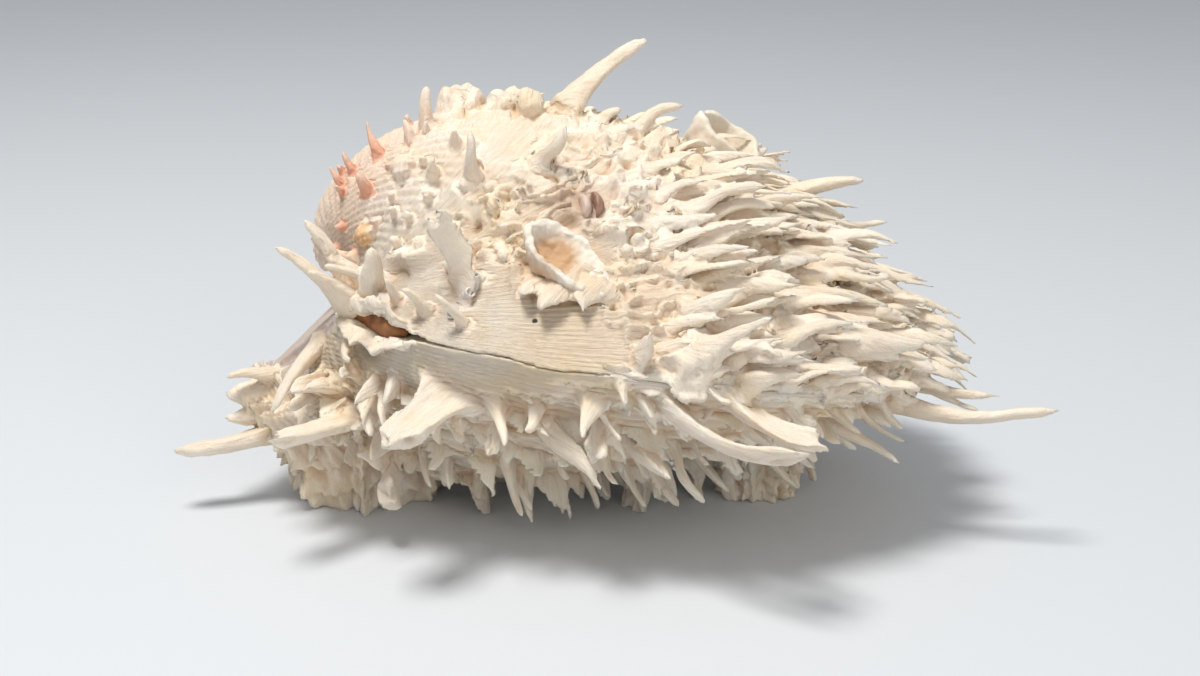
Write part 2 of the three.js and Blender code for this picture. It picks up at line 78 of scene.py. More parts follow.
# Each spine is: angle on the rim in degrees (negative in front), growth line, then the tip from
# the base (out, ahead to the rim, across to larger angles), widths at base and tip, thickness as
# a share of the width, bow (how far it rises straight out before it bends), and its make.
THORN, BLADE, SPOON, GUTTER, HORN = range(5)
UPPER_SPINES = [
    (-6, 0.45, 13, 13, 13, 6, 2.6, 0.8, 6, THORN),
    (-16, 0.53, 5, 9, 9, 3.5, 1.8, 0.8, 3, THORN),
    (-14, 0.5, 2, 3, 4, 3, 1.6, 0.8, 3, THORN),
    (6, 0.67, 7, 4, 3, 4, 1.6, 0.7, 3, BLADE),
    (-14, 0.67, 4, 4, 1, 3.5, 1.4, 0.7, 2, BLADE),
    (-4, 0.72, 12, 12, 2, 5.4, 2.2, 0.8, 5, THORN),
    (4, 0.8, 10, 8, 0, 3.6, 1, 0.7, 4, THORN),
    (2, 0.88, 7, 6, 0, 3.6, 1, 0.7, 3, THORN),
    (6, 0.92, 6, 6, 0, 3.4, 1, 0.7, 3, THORN),
    (0, 0.96, 5, 6, 0, 3.6, 2, 0.6, 3, SPOON),
    (-6, 0.97, 4, 4, 1, 3, 1.2, 0.7, 2, THORN),
    (-154, 0.83, 14.1, 0, -6.8, 4.6, 1.6, 0.8, 6, THORN),
    (-150, 0.86, 11, 5, -2.6, 5.6, 2, 0.8, 5, THORN),
    (-146, 0.62, 15, -4, 2.6, 5, 1.8, 0.8, 6, THORN),
    (-140, 0.55, 10.6, -3.5, 2, 4.2, 1.4, 0.8, 4, THORN),
    (-134, 0.6, 10.8, -0.4, -2.4, 3.4, 1.2, 0.8, 4, THORN),
    (-130, 0.3, 5, -3, 3, 3, 1, 0.8, 3, THORN),
    (-136, 0.42, 8, 2, 0, 3.4, 1, 0.8, 3, THORN),
    (-140, 0.74, 9.4, 2.2, 6.5, 6.4, 2.4, 0.9, 4, THORN),
    (-132, 0.8, 6, 0, 1, 3.2, 1, 0.8, 3, THORN),
    (-124, 0.82, 7.1, -0.4, -1, 3.6, 1.2, 0.8, 3, THORN),
    (-116, 0.87, 7, -3, -2, 3, 1, 0.8, 3, THORN),
    (-104, 0.65, 12, -4, 1, 7.6, 4.6, 0.5, 4, GUTTER),
    (-72, 0.44, 8, 0, 6, 4.4, 1.6, 0.8, 4, THORN),
    (-40, 0.24, 4.6, 1, 5, 3, 0.8, 0.9, 2, THORN),
    (-42, 0.2, 3, 1, 3.4, 2.6, 0.8, 0.9, 1, THORN),
    (-48, 0.18, 3, 1, 3.4, 2.6, 0.8, 0.9, 1, THORN),
    (-70, 0.24, 3.6, 1, 2, 3.8, 0.9, 0.9, 1.6, THORN),
    (-40, 0.29, 3.4, 0, 3, 3, 0.8, 0.9, 1, THORN),
    (-26, 0.3, 6, 2, 4, 3.4, 1.4, 0.9, 3, THORN),
    (-70, 0.36, 4, 2, 2, 3.4, 0.8, 0.9, 2, THORN),
    (-48, 0.36, 4, 1, 0, 3.4, 0.8, 0.9, 2, THORN),
    (-56, 0.5, 7, 3, 4, 4.6, 2, 0.8, 4, SPOON),
    (-76, 0.94, 12, 4, 9, 6.5, 1.4, 0.7, 7, HORN),
    (-86, 0.95, 6, -2, 1, 4.6, 1.6, 0.5, 3, BLADE),
    (-94, 0.745, 3.4, 1, -4, 7, 2.2, 0.35, 2, BLADE),
    (-90, 0.76, 3.6, 2.4, -6.2, 9, 2.2, 0.35, 2, BLADE),
    (-84, 0.77, 3, 2.6, -5, 8, 2.4, 0.35, 2, BLADE),
    (-72, 0.86, 9, 4, 7, 5, 1.4, 0.5, 5, BLADE),
    (-66, 0.91, 8, 8, 0, 4, 1.2, 0.6, 4, HORN),
    (-44, 0.92, 8, 11, 7, 6, 2.6, 0.4, 4, BLADE),
    (-60, 0.81, 8, 10, 6, 5, 2, 0.5, 4, BLADE),
]
LOWER_SPINES = [
    (-32, 0.14, 14, -17.5, -5, 6, 4, 0.7, 3, THORN),
    (-108, 0.48, 18, -3, -9, 7.6, 4.4, 0.5, 6, SPOON),
    (-150, 0.23, 7, -5, 3, 4, 1.6, 0.8, 3, THORN),
    (-155, 0.69, 8.5, -4, 13.5, 5.6, 2, 0.6, 4, THORN),
    (-100, 0.1, 4.4, -4.4, 2, 6.5, 3, 0.6, 2, BLADE),
    (-62, 0.1, 6, -5, 2, 6, 2.4, 0.7, 2, BLADE),
    (-146, 0.84, 3, 4, 5, 4, 1.4, 0.7, 2, THORN),
    (-128, 0.53, 8, 0, -3, 4, 1.4, 0.8, 3, BLADE),
    (-110, 0.76, 16, 2, -5, 11, 6.4, 0.4, 8, SPOON),
    (-94, 0.44, 9, 2, -3, 4.6, 2, 0.7, 3, BLADE),
    (-70, 0.35, 11, 5, -4, 6.6, 5.4, 0.5, 5, SPOON),
    (-86, 0.33, 7, 2, -2, 4, 1.6, 0.7, 3, BLADE),
    (-100, 0.78, 10, 5, 1, 4.4, 1.2, 0.8, 4, HORN),
    (-90, 0.67, 7, 1, -1, 3.6, 1.2, 0.8, 3, THORN),
    (-94, 0.82, 7, 1, -2, 3.6, 1.4, 0.8, 3, THORN),
    (-84, 0.74, 13, 11, 2, 5.4, 2, 0.5, 5, BLADE),
    (-90, 0.9, 10, 2, -3, 5, 1.2, 0.8, 5, HORN),
    (-80, 0.81, 9, 2, -4, 4.6, 3, 0.7, 4, SPOON),
    (-66, 0.75, 11, 10, -4, 5, 2.4, 0.6, 4, BLADE),
    (-90, 0.97, 4, 1, 0, 3.4, 1.2, 0.7, 2, HORN),
    (-80, 0.9, 6, 2, 0, 4, 1.4, 0.7, 3, HORN),
    (-78, 0.91, 14, 22, 4, 6.6, 4.6, 0.45, 9, SPOON),
    (-70, 0.96, 12, 14, 1, 6.6, 4, 0.5, 6, SPOON),
    (-44, 0.84, 10, 8, -5, 4, 1.6, 0.7, 4, BLADE),
    (-56, 0.95, 5, 3, -1, 3.6, 1.4, 0.7, 3, HORN),
    (-42, 0.93, 6, 4, -1, 3.6, 1.2, 0.7, 3, HORN),
    (-30, 0.88, 12, 10, -4, 4, 1.6, 0.7, 5, THORN),
    (-36, 0.88, 6, 4, -3, 3.6, 1.2, 0.7, 3, THORN),
    (-28, 0.94, 13, 28.5, 1.5, 5.6, 2.4, 0.7, 8, THORN),
    (-20, 0.98, 8, 12, 3, 3.6, 1.8, 0.7, 4, BLADE),
    (-14, 0.97, 10, 9, 2, 3.4, 1.4, 0.7, 4, THORN),
    (-34, 0.96, 7, 3, -1, 3.4, 1.2, 0.7, 3, THORN),
]
# Each foot spine is: angle, growth line, width.
FOOT_SPINES = [
    (-14, 0.58, 5), (-20, 0.6, 4), (-6, 0.67, 4), (-7, 0.72, 5), (-9, 0.75, 5.5),
    (-5, 0.78, 5), (4, 0.81, 5), (38, 0.74, 5), (27, 0.8, 5), (48, 0.56, 4.5),
]
# Each knob is: angle, growth line, radius, height.
KNOBS = [
    (6, 0.33, 4.2, 4.6), (-8, 0.38, 2.6, 3), (-14, 0.42, 2.8, 3.6), (18, 0.4, 3.2, 3.4),
    (-62, 0.3, 2.6, 2), (-107, 0.28, 1.9, 1.6), (-131, 0.46, 1.2, 2.2),
]
# Where the small pieces sit (angle, growth line), and how far the valve's growth keeps clear.
MIDDLE_CUP_SEAT = (-82, 0.71)
FAR_CUP_SEAT = (8, 0.64)
NESTLER_SEAT = (-63, 0.61)
WORM_SEAT = (-110, 0.735)
SEATS = [(MIDDLE_CUP_SEAT, 6.8), (FAR_CUP_SEAT, 7), (NESTLER_SEAT, 3.6), (WORM_SEAT, 3)]


# ---------------------------------------------------------------- growth of a valve
def turn_y(points, angle):
    """Turns points about the Y axis, each by its own angle."""
    cos, sin = np.cos(angle), np.sin(angle)
    x = cos * points[..., 0] + sin * points[..., 2]
    z = cos * points[..., 2] - sin * points[..., 0]
    return np.stack([x, points[..., 1] + 0 * x, z], -1)


def grow(valve, growth, point):
    """Where a point of the full-grown rim was at an earlier growth."""
    turn = valve.side * valve.curl * np.log(growth)
    return valve.beak + np.asarray(growth)[..., None] * turn_y(point - valve.beak, turn)


def rim_point(angle):
    """A point of the full-grown rim; its angle is 0 at the lip."""
    angle = np.asarray(angle, float)
    x = RIM_CENTRE + RIM_LENGTH * np.cos(angle)
    return np.stack([x, RIM_WIDTH * np.sin(angle), 0 * angle], -1)


def valve_point(valve, growth, angle):
    return grow(valve, np.asarray(growth, float), rim_point(angle))


def outline_point(share):
    """A point of the closed growth line: around the rim, then back along the hinge line."""
    share = np.asarray(share, float)
    rim_share = 1 - HINGE_SHARE
    angle = HINGE_ANGLE * (2 * np.minimum(share / rim_share, 1) - 1)
    along = np.clip((share - rim_share) / HINGE_SHARE, 0, 1)[..., None]
    back = rim_point(HINGE_ANGLE) * (1 - along) + rim_point(-HINGE_ANGLE) * along
    return np.where(share[..., None] <= rim_share, rim_point(angle), back)


def unit(vectors):
    return vectors / np.maximum(np.linalg.norm(vectors, axis=-1, keepdims=True), 1e-9)


def seat(valve, degrees, growth):
    """The frame of places on a valve: place, ahead to the rim, across to larger angles, out."""
    angle = np.radians(np.asarray(degrees, float))
    growth = np.asarray(growth, float) + 0 * angle
    place = valve_point(valve, growth, angle)
    ahead = unit(valve_point(valve, growth + 0.004, angle) - place)
    around = valve_point(valve, growth, angle + 0.01) - place
    out = unit(np.cross(ahead, around) * valve.side)
    across = np.cross(out, ahead) * valve.side
    return place, ahead, across, out


GROWTH_ROUNDS = 12


def growth_of(valve, points):
    """Growth line and rim angle of any points near a valve, and how far past its skin they are."""
    local = points - valve.beak
    x, z = local[:, 0], local[:, 2] * valve.side
    reach = np.maximum(np.hypot(x, z), 1e-6)
    plane = -valve.beak[2] * valve.side
    growth = np.full(len(points), 0.5)
    for _ in range(GROWTH_ROUNDS):
        lag = np.arcsin(np.clip(plane * growth / reach, -1, 1))
        turn = np.clip(np.arctan2(z, x) - lag, -0.3, 3.4)
        growth = 0.5 * growth + 0.5 * np.exp(-turn / valve.curl)
    growth = np.clip(growth, 0.02, 1.15)
    flat = rim_unit(valve, points, growth)
    u = (flat[:, 0] - RIM_CENTRE) / RIM_LENGTH
    v = flat[:, 1] / RIM_WIDTH
    past = (np.hypot(u, v) - 1) * growth * RIM_WIDTH
    return growth, np.arctan2(v, u), past


def rim_unit(valve, points, growth):
    """Where points on a growth line would be when the valve was full grown."""
    turn = -valve.side * valve.curl * np.log(growth)
    return turn_y(points - valve.beak, turn) / growth[:, None] + valve.beak


def rest(points):
    """Lays points of the shell's frame on the floor, in metres."""
    cos, sin = math.cos(REST_TILT), math.sin(REST_TILT)
    x = cos * points[:, 0] + sin * points[:, 2]
    z = cos * points[:, 2] - sin * points[:, 0]
    cos, sin = math.cos(REST_ROLL), math.sin(REST_ROLL)
    y = cos * points[:, 1] - sin * z
    z = sin * points[:, 1] + cos * z
    return (np.stack([x, y, z], -1) + REST_POSITION) / 1000


def unrest(points):
    """From metres on the floor back to the shell's frame."""
    p = points * 1000 - REST_POSITION
    cos, sin = math.cos(REST_ROLL), math.sin(REST_ROLL)
    y = cos * p[:, 1] + sin * p[:, 2]
    z = cos * p[:, 2] - sin * p[:, 1]
    cos, sin = math.cos(REST_TILT), math.sin(REST_TILT)
    return np.stack([cos * p[:, 0] - sin * z, y, sin * p[:, 0] + cos * z], -1)


DOWN = unrest(np.array([[0, 0, -1.0]]) / 1000)[0] - unrest(np.zeros((1, 3)))[0]


# ---------------------------------------------------------------- meshes
def deselect_all():
    if bpy.context.mode != "OBJECT":
        bpy.ops.object.mode_set(mode="OBJECT")
    bpy.ops.object.select_all(action="DESELECT")


def select_only(piece):
    deselect_all()
    bpy.context.view_layer.objects.active = piece
    piece.select_set(True)


def mesh_object(name, points, faces):
    mesh = bpy.data.meshes.new(name)
    mesh.from_pydata([tuple(p) for p in points], [], [tuple(int(i) for i in f) for f in faces])
    mesh.update()
    piece = bpy.data.objects.new(name, mesh)
    bpy.context.scene.collection.objects.link(piece)
    return piece


def mesh_points(piece, kind="co"):
    vectors = np.empty(len(piece.data.vertices) * 3)
    piece.data.vertices.foreach_get(kind, vectors)
    return vectors.reshape(-1, 3)


def mesh_normals(piece):
    return mesh_points(piece, "normal")


def set_points(piece, points):
    piece.data.vertices.foreach_set("co", points.reshape(-1))
    piece.data.update()


def apply_modifier(piece, kind, **settings):
    select_only(piece)
    modifier = piece.modifiers.new(kind.lower(), kind)
    for name, value in settings.items():
        setattr(modifier, name, value)
    bpy.ops.object.modifier_apply(modifier=modifier.name)


LATTICE_SIZE = 4096
LATTICE_SHIFT = 31.7
LATTICE_ORDER = np.random.default_rng(1).permutation(LATTICE_SIZE)
LATTICE_VALUES = np.random.default_rng(2).uniform(-1, 1, LATTICE_SIZE)


def lumps(points, size, seed):
    """Smooth unevenness from -1 to 1 at each point, with grains of about the given size."""
    place = points / size + LATTICE_SHIFT * seed
    cell = np.floor(place).astype(int)
    share = place - cell
    share = share * share * (3 - 2 * share)
    total = np.zeros(len(points))
    for corner in range(8):
        step = np.array([corner & 1, corner >> 1 & 1, corner >> 2 & 1])
        spot = (cell + step) % LATTICE_SIZE
        key = LATTICE_ORDER[(LATTICE_ORDER[spot[:, 0]] + spot[:, 1]) % LATTICE_SIZE]
        key = LATTICE_ORDER[(key + spot[:, 2]) % LATTICE_SIZE]
        total += np.prod(np.where(step, share, 1 - share), axis=1) * LATTICE_VALUES[key]
    return total


def ease(low, high, values):
    """0 below low, 1 above high, and a soft step between."""
    share = np.clip((values - low) / (high - low), 0, 1)
    return share * share * (3 - 2 * share)


class Heap:
    """Closed shells gathered into one mesh, to be fused later.

    Each point keeps its strand: millimetres across and along the fibres of its shell, the
    shell's number, how near it is to a tip (0 to 1), and the growth line that it stands on.
    """

    def __init__(self):
        self.points = []
        self.faces = []
        self.strands = []
        self.count = 0

    def add(self, points, faces, across, along, tip, line):
        number = np.full(len(points), float(len(self.points)))
        self.points.append(points)
        self.faces.append(faces + self.count)
        self.strands.append(np.stack([across, along, number, tip + 0 * number, line + 0 * number], -1))
        self.count += len(points)

    def close(self, valve):
        """Joins the shells into single arrays, parts the lips and flattens what is on the floor."""
        points = part_lips(valve, np.concatenate(self.points))
        standing = rest(points)
        standing[:, 2] = np.maximum(standing[:, 2], 0)
        self.points = unrest(standing)
        self.faces = np.concatenate(self.faces)
        self.strands = np.concatenate(self.strands)


GAPE_PLACE = (7.0, -28.0)
GAPE_TURN = math.radians(-50)
GAPE_LENGTH = 8.8
GAPE_DEPTH = 6.0
GAPE_RISE = 2.6


def part_lips(valve, points):
    """Keeps the valves a hair apart, waves their seam, and opens the gap at the front ear."""
    near = np.exp(-((points[:, 2] / 7) ** 2))
    flat = points * np.array([1, 1, 0])
    wave = 0.55 * lumps(flat, 9.0, 8) + 0.25 * lumps(flat, 4.0, 9)
    x, y = points[:, 0] - GAPE_PLACE[0], points[:, 1] - GAPE_PLACE[1]
    along = x * math.cos(GAPE_TURN) + y * math.sin(GAPE_TURN)
    aside = y * math.cos(GAPE_TURN) - x * math.sin(GAPE_TURN)
    rise = GAPE_RISE * np.exp(-((along / GAPE_LENGTH) ** 2) - (aside / GAPE_DEPTH) ** 2)
    rise = rise * (1 + 0.35 * lumps(flat, 2.2, 10))
    lift = wave + valve.side * rise
    return points + np.stack([0 * x, 0 * x, near * lift + valve.side * SEAM_GAP / 2], -1)


def nearest_strands(heap, points):
    """The strands of the places on the heap's shells that are nearest to the points."""
    tree = BVHTree.FromPolygons(heap.points.tolist(), heap.faces.tolist())
    found = [tree.find_nearest(point) for point in points.tolist()]
    spots = np.array([hit[0] for hit in found])
    corners = heap.faces[np.array([hit[2] for hit in found])]
    first, second, third = (heap.points[corners[:, i]] for i in range(3))
    u, v, w = second - first, third - first, spots - first
    uu, uv, vv = (u * u).sum(1), (u * v).sum(1), (v * v).sum(1)
    wu, wv = (w * u).sum(1), (w * v).sum(1)
    scale = np.maximum(uu * vv - uv * uv, 1e-12)
    b = np.clip((vv * wu - uv * wv) / scale, 0, 1)
    c = np.clip((uu * wv - uv * wu) / scale, 0, 1)
    a = np.clip(1 - b - c, 0, 1)
    strands = [heap.strands[corners[:, i]] for i in range(3)]
    return a[:, None] * strands[0] + b[:, None] * strands[1] + c[:, None] * strands[2]


def free_of_seats(valve, places, soft):
    """1 where a place is clear of the small pieces, 0 where one of them sits."""
    free = np.ones(len(places))
    for (degrees, growth), clear in SEATS if valve is UPPER else ():
        apart = np.linalg.norm(places - seat(UPPER, degrees, growth)[0], axis=1)
        free = free * ease(clear - soft, clear + soft, apart)
    return free


# ---------------------------------------------------------------- spines
SPINE_SIDES = 14
SPINE_RINGS = 14
GUTTER_FLATNESS = 0.7


def spine_blank():
    """A straight closed cylinder of many rings, which every spine is shaped from."""
    deselect_all()
    bpy.ops.mesh.primitive_cylinder_add(vertices=SPINE_SIDES, radius=1, depth=1, end_fill_type="TRIFAN")
    blank = bpy.context.object
    bpy.ops.object.mode_set(mode="EDIT")
    for ring in range(1, SPINE_RINGS):
        height = ring / SPINE_RINGS - 0.5
        bpy.ops.mesh.select_all(action="SELECT")
        bpy.ops.mesh.bisect(plane_co=(0, 0, height), plane_no=(0, 0, 1))
    bpy.ops.mesh.select_all(action="SELECT")
    bpy.ops.mesh.quads_convert_to_tris()
    bpy.ops.object.mode_set(mode="OBJECT")
    points = mesh_points(blank)
    faces = np.array([list(p.vertices) for p in blank.data.polygons])
    bpy.data.objects.remove(blank)
    return points, faces


BLANK_POINTS, BLANK_FACES = spine_blank()
BLANK_ALONG = BLANK_POINTS[:, 2] + 0.5
BLANK_AROUND = np.arctan2(BLANK_POINTS[:, 1], BLANK_POINTS[:, 0])
BLANK_RING = np.hypot(BLANK_POINTS[:, 0], BLANK_POINTS[:, 1])

# How each make of spine is formed: how far its foot spreads, the share of its length where its
# end starts to close, how deep its trough is, and how ragged its end is.
SPREAD = {THORN: 0.6, BLADE: 1.3, SPOON: 0.9, GUTTER: 1.7, HORN: 1.7}
END = {THORN: 0.9, BLADE: 0.7, SPOON: 0.93, GUTTER: 0.95, HORN: 0.92}
TROUGH = {THORN: 0.1, BLADE: 0.5, SPOON: 0.4, GUTTER: 1.2, HORN: 0.25}
RAGGED = {THORN: 0.02, BLADE: 0.07, SPOON: 0.09, GUTTER: 0.07, HORN: 0.03}


def width_along(make, along, width, tip_width):
    """A spine's width from root to tip: a spread foot, its own taper, and a rounded end."""
    if make == SPOON:
        waist = 1 - 0.26 * np.sin(math.pi * np.clip(along * 1.15, 0, 1))
        body = (width + (tip_width * 1.25 - width) * along) * waist
    elif make == BLADE:
        body = width + (tip_width - width) * along**1.5
    elif make == HORN:
        body = tip_width + (width - tip_width) * (1 - along) ** 1.7
    else:
        body = tip_width + (width - tip_width) * (1 - along) ** 1.1
    foot = SPREAD[make] * width * np.exp(-along / 0.15)
    past = np.clip((along - END[make]) / (1 - END[make]), 0, 1)
    return (body + foot) * np.sqrt(np.maximum(1 - 0.93 * past**2, 0.01))


def floor_share(place, tip, clear):
    """How much of a spine fits above the floor with some clearance."""
    low, high = rest(np.array([tip, place]))[:, 2] * 1000
    return 1.0 if low > clear else max(0.25, (high - clear) / max(high - low, 0.1))


def add_spine(heap, valve, row, rng, clear=0.3):
    """One spine, bent from the blank; it stops short where it would come near the floor."""
    degrees, growth, out, ahead, across, width, tip_width, thickness, bow, make = row
    place, ahead_axis, across_axis, out_axis = seat(valve, degrees, growth)

    def at(o, a, c):
        return place + o * out_axis + a * ahead_axis + c * across_axis

    fits = floor_share(place, at(out, ahead, across), clear)
    out, ahead, across, bow = out * fits, ahead * fits, across * fits, bow * fits
    root, bend, tip = at(-ROOT_DEPTH, 0, 0), at(bow, 0.25 * ahead, 0.25 * across), at(out, ahead, across)
    reach = np.linalg.norm(tip - root)
    ragged = np.cos(3 * BLANK_AROUND + rng.uniform(0, 6))
    ragged = RAGGED[make] * (ragged + 0.7 * np.cos(5 * BLANK_AROUND + rng.uniform(0, 6)))
    slant = rng.normal() * RAGGED[make] * np.cos(BLANK_AROUND)
    shift = (ragged + slant) * BLANK_RING * ease(0.75, 1, BLANK_ALONG)
    t = (BLANK_ALONG + shift)[:, None]
    line = (1 - t) ** 2 * root + 2 * t * (1 - t) * bend + t**2 * tip
    tangent = unit(2 * (1 - t) * (bend - root) + 2 * t * (tip - bend))
    upright = out_axis - 0.3 * ahead_axis
    side = unit(np.cross(tangent, upright + 0 * tangent))
    face = np.cross(side, tangent)
    sway, drift, lift, _ = 0.03 * reach * rng.normal(size=4)
    line = line + side * (sway * np.sin(math.pi * 2 * t) + drift * t**3)
    line = line + face * (lift * np.sin(math.pi * 2 * t) * 0.6)
    twist = 0.45 * rng.normal() * t
    side, face = side * np.cos(twist) + face * np.sin(twist), face * np.cos(twist) - side * np.sin(twist)
    wide = width_along(make, BLANK_ALONG, width, tip_width) / 2
    wide = wide * (1 + 0.07 * np.sin(7 * BLANK_ALONG + rng.uniform(0, 6)))
    ribs = 1 + 0.07 * np.cos(5 * BLANK_AROUND + rng.uniform(0, 6)) * np.minimum(1, 3 * BLANK_ALONG)
    u = BLANK_RING * np.cos(BLANK_AROUND) * ribs
    v = BLANK_RING * np.sin(BLANK_AROUND) * ribs
    foot = np.exp(-BLANK_ALONG / 0.12)
    flat = thickness * (1 - foot) + min(0.7, 1.3 * thickness) * foot
    if make == GUTTER:
        flat = flat * GUTTER_FLATNESS
    x = wide * u
    y = wide * v * flat - wide * TROUGH[make] * (u**2 - 0.4) * np.minimum(1, 4 * BLANK_ALONG)
    points = line + side * x[:, None] + face * y[:, None]
    heap.add(points, BLANK_FACES, x + 0.6 * y, BLANK_ALONG * reach, BLANK_ALONG, growth)


def foot_spine(heap, degrees, growth, width, rng):
    """Two thick branches of one spine that reach down and are worn flat on the floor."""
    place, ahead, across, out = seat(LOWER, degrees, growth)
    height = rest(place[None])[0, 2] * 1000
    for branch in range(2):
        root = place - ROOT_DEPTH * out
        aside = rng.normal(size=2) * 2.2 * branch
        tip = place + (height + 0.5) * DOWN + aside[0] * across + aside[1] * ahead
        t = BLANK_ALONG[:, None]
        line = root * (1 - t) + tip * t + 1.2 * np.sin(math.pi * t) * rng.normal() * ahead
        spread = 0.75 + 1.1 * np.exp(-BLANK_ALONG / 0.25)
        spread = spread + 0.2 * np.sin(7 * BLANK_ALONG + rng.uniform(0, 6))
        wide = width / 2 * spread * (1 - 0.25 * branch)
        ribs = 1 + 0.2 * np.cos(4 * BLANK_AROUND + rng.uniform(0, 6))
        side = unit(np.cross(DOWN, ahead))
        x = wide * BLANK_RING * ribs * np.cos(BLANK_AROUND)
        y = wide * BLANK_RING * ribs * np.sin(BLANK_AROUND) * 0.7
        points = line + side * x[:, None] + unit(np.cross(side, DOWN)) * y[:, None]
        heap.add(points, BLANK_FACES, x + 0.6 * y, BLANK_ALONG * height, 0.5 * BLANK_ALONG, growth)


def knob(heap, degrees, growth, radius, height, rng):
    """A worn, rough lump on the crest, with two smaller ones leaning on it."""
    place, ahead, across, out = seat(UPPER, degrees, growth)
    for part, shrink in enumerate((1, 0.6, 0.5)):
        centre = place + (rng.normal() * ahead + rng.normal() * across) * radius * 0.55 * min(part, 1)
        t = BLANK_ALONG
        rise = -ROOT_DEPTH + (height * shrink + ROOT_DEPTH) * np.sin(0.5 * math.pi * t)
        wide = radius * shrink * (1.15 - 0.45 * t) * np.sqrt(np.maximum(1 - t**3.2, 0.02)) * BLANK_RING
        wide = wide * (1 + 0.12 * np.cos(3 * BLANK_AROUND + rng.uniform(0, 6)))
        x, y = wide * np.cos(BLANK_AROUND), wide * np.sin(BLANK_AROUND)
        points = centre + rise[:, None] * out + x[:, None] * ahead + y[:, None] * across
        heap.add(points, BLANK_FACES, x, rise, 0.05 * t, growth)


# ---------------------------------------------------------------- skin of a valve
SKIN_AROUND = 300
SKIN_RINGS = 150
CAVITY_INSET = 0.87
CAVITY_FIRST_GROWTH = 0.3
CAVITY_RINGS = 12
AREA_FIRST_GROWTH = 0.2
AREA_LAST_GROWTH = LAST_SEATED_GROWTH
AREA_DEPTH = 4.5
AREA_ROWS = 40


def grid_faces(rows, columns, closed=True):
    """Triangles between rows of points; closed joins each row's last point to its first."""
    row, column = np.meshgrid(np.arange(rows - 1), np.arange(columns - (not closed)), indexing="ij")
    near = (row * columns + column).ravel()
    far = (row * columns + (column + 1) % columns).ravel()
    up_near, up_far = near + columns, far + columns
    return np.concatenate([np.stack([near, far, up_far], -1), np.stack([near, up_far, up_near], -1)])


def fan_faces(centre, first, columns):
    column = np.arange(columns)
    return np.stack([first + (column + 1) % columns, first + column, 0 * column + centre], -1)


def closed_faces(rows, columns):
    """Rings of points joined, and closed on the two middle points that come after them."""
    after = rows * columns
    return np.concatenate([
        grid_faces(rows, columns),
        fan_faces(after, 0, columns),
        fan_faces(after + 1, after - columns, columns)[:, ::-1],
    ])


def valve_skin(heap, valve):
    """A thick closed bowl: the grown outside, the rim, and the smooth inside."""
    share = np.arange(SKIN_AROUND) / SKIN_AROUND
    outline = outline_point(share)
    middle = np.array([RIM_CENTRE, 0, 0])
    inner = middle + CAVITY_INSET * (outline - middle)
    outside = FIRST_GROWTH ** (1 - np.linspace(0, 1, SKIN_RINGS))
    inside = CAVITY_FIRST_GROWTH ** np.linspace(0.1, 1, CAVITY_RINGS)
    rows = [grow(valve, np.full(SKIN_AROUND, growth), outline) for growth in outside]
    rows.append(inner)
    rows += [grow(valve, np.full(SKIN_AROUND, growth), inner) for growth in inside]
    ends = np.array([
        grow(valve, np.array(FIRST_GROWTH), middle),
        grow(valve, np.array(CAVITY_FIRST_GROWTH), middle),
    ])
    points = np.concatenate(rows + [ends])
    growths = np.concatenate([outside, [1], inside])
    across = np.append(np.repeat(STRAND_SCALE * growths, SKIN_AROUND), [0, 0])
    along = np.append(np.outer(growths, 240 * np.abs(share - 0.5)).ravel(), [0, 0])
    faces = closed_faces(len(rows), SKIN_AROUND)
    heap.add(points, faces, across, along, 0, across / STRAND_SCALE)


def hinge_area(heap):
    """The flat triangle of the lower valve between its beak and the hinge line."""
    sides = np.array([HINGE_ANGLE, -HINGE_ANGLE])
    young = valve_point(LOWER, np.full(2, AREA_FIRST_GROWTH), sides)
    grown = valve_point(LOWER, np.full(2, AREA_LAST_GROWTH), sides)
    inward = unit(np.array([0.66, 0, -0.75])) * AREA_DEPTH
    share = np.linspace(0, 1, AREA_ROWS)
    rows = []
    for t in share:
        back, front = young + (grown - young) * t
        rows.append(np.array([back, front, front + inward, back + inward]))
    cap = np.array([[0, 1, 2], [0, 2, 3]])
    faces = np.concatenate([grid_faces(AREA_ROWS, 4), cap[:, ::-1], cap + 4 * (AREA_ROWS - 1)])
    growth = np.repeat(AREA_FIRST_GROWTH + (AREA_LAST_GROWTH - AREA_FIRST_GROWTH) * share, 4)
    points = np.concatenate(rows)
    heap.add(points, faces, STRAND_SCALE * growth, points[:, 1], 0, growth)


# ---------------------------------------------------------------- frills
# A frill is a growth line that stands up. Each row is: its growth line at some angles, its
# height, its lean ahead in radians, the spacing of its points, how far each point is folded out
# like a tent, and the share of its height that it keeps between the points.
LOWER_FRILLS = [
    (((-156, 0.985), (-131, 0.985)), 2.6, -0.6, 4.0, 0.0, 0.75),
    (((-100, 0.94), (-94, 0.955), (-60, 0.965), (140, 0.97)), 2.8, 0.8, 6.5, 0.9, 0.3),
    (((-104, 0.84), (-98, 0.86), (-84, 0.9), (-40, 0.91), (140, 0.9)), 6.0, 0.5, 8.0, 2.2, 0.26),
    (((-122, 0.67), (-112, 0.7), (-84, 0.8), (-40, 0.83), (140, 0.82)), 7.5, 0.4, 8.5, 2.4, 0.26),
    (((-138, 0.53), (-112, 0.6), (-84, 0.7), (-40, 0.74), (140, 0.73)), 8.0, 0.35, 8.5, 2.4, 0.26),
    (((-138, 0.43), (-112, 0.5), (-84, 0.6), (-40, 0.64), (140, 0.63)), 8.0, 0.3, 8.0, 2.4, 0.26),
    (((-136, 0.34), (-112, 0.4), (-84, 0.49), (-40, 0.53), (140, 0.52)), 8.0, 0.25, 7.5, 2.2, 0.26),
    (((-130, 0.27), (-84, 0.38), (140, 0.41)), 8.0, 0.2, 7.0, 1.8, 0.26),
]
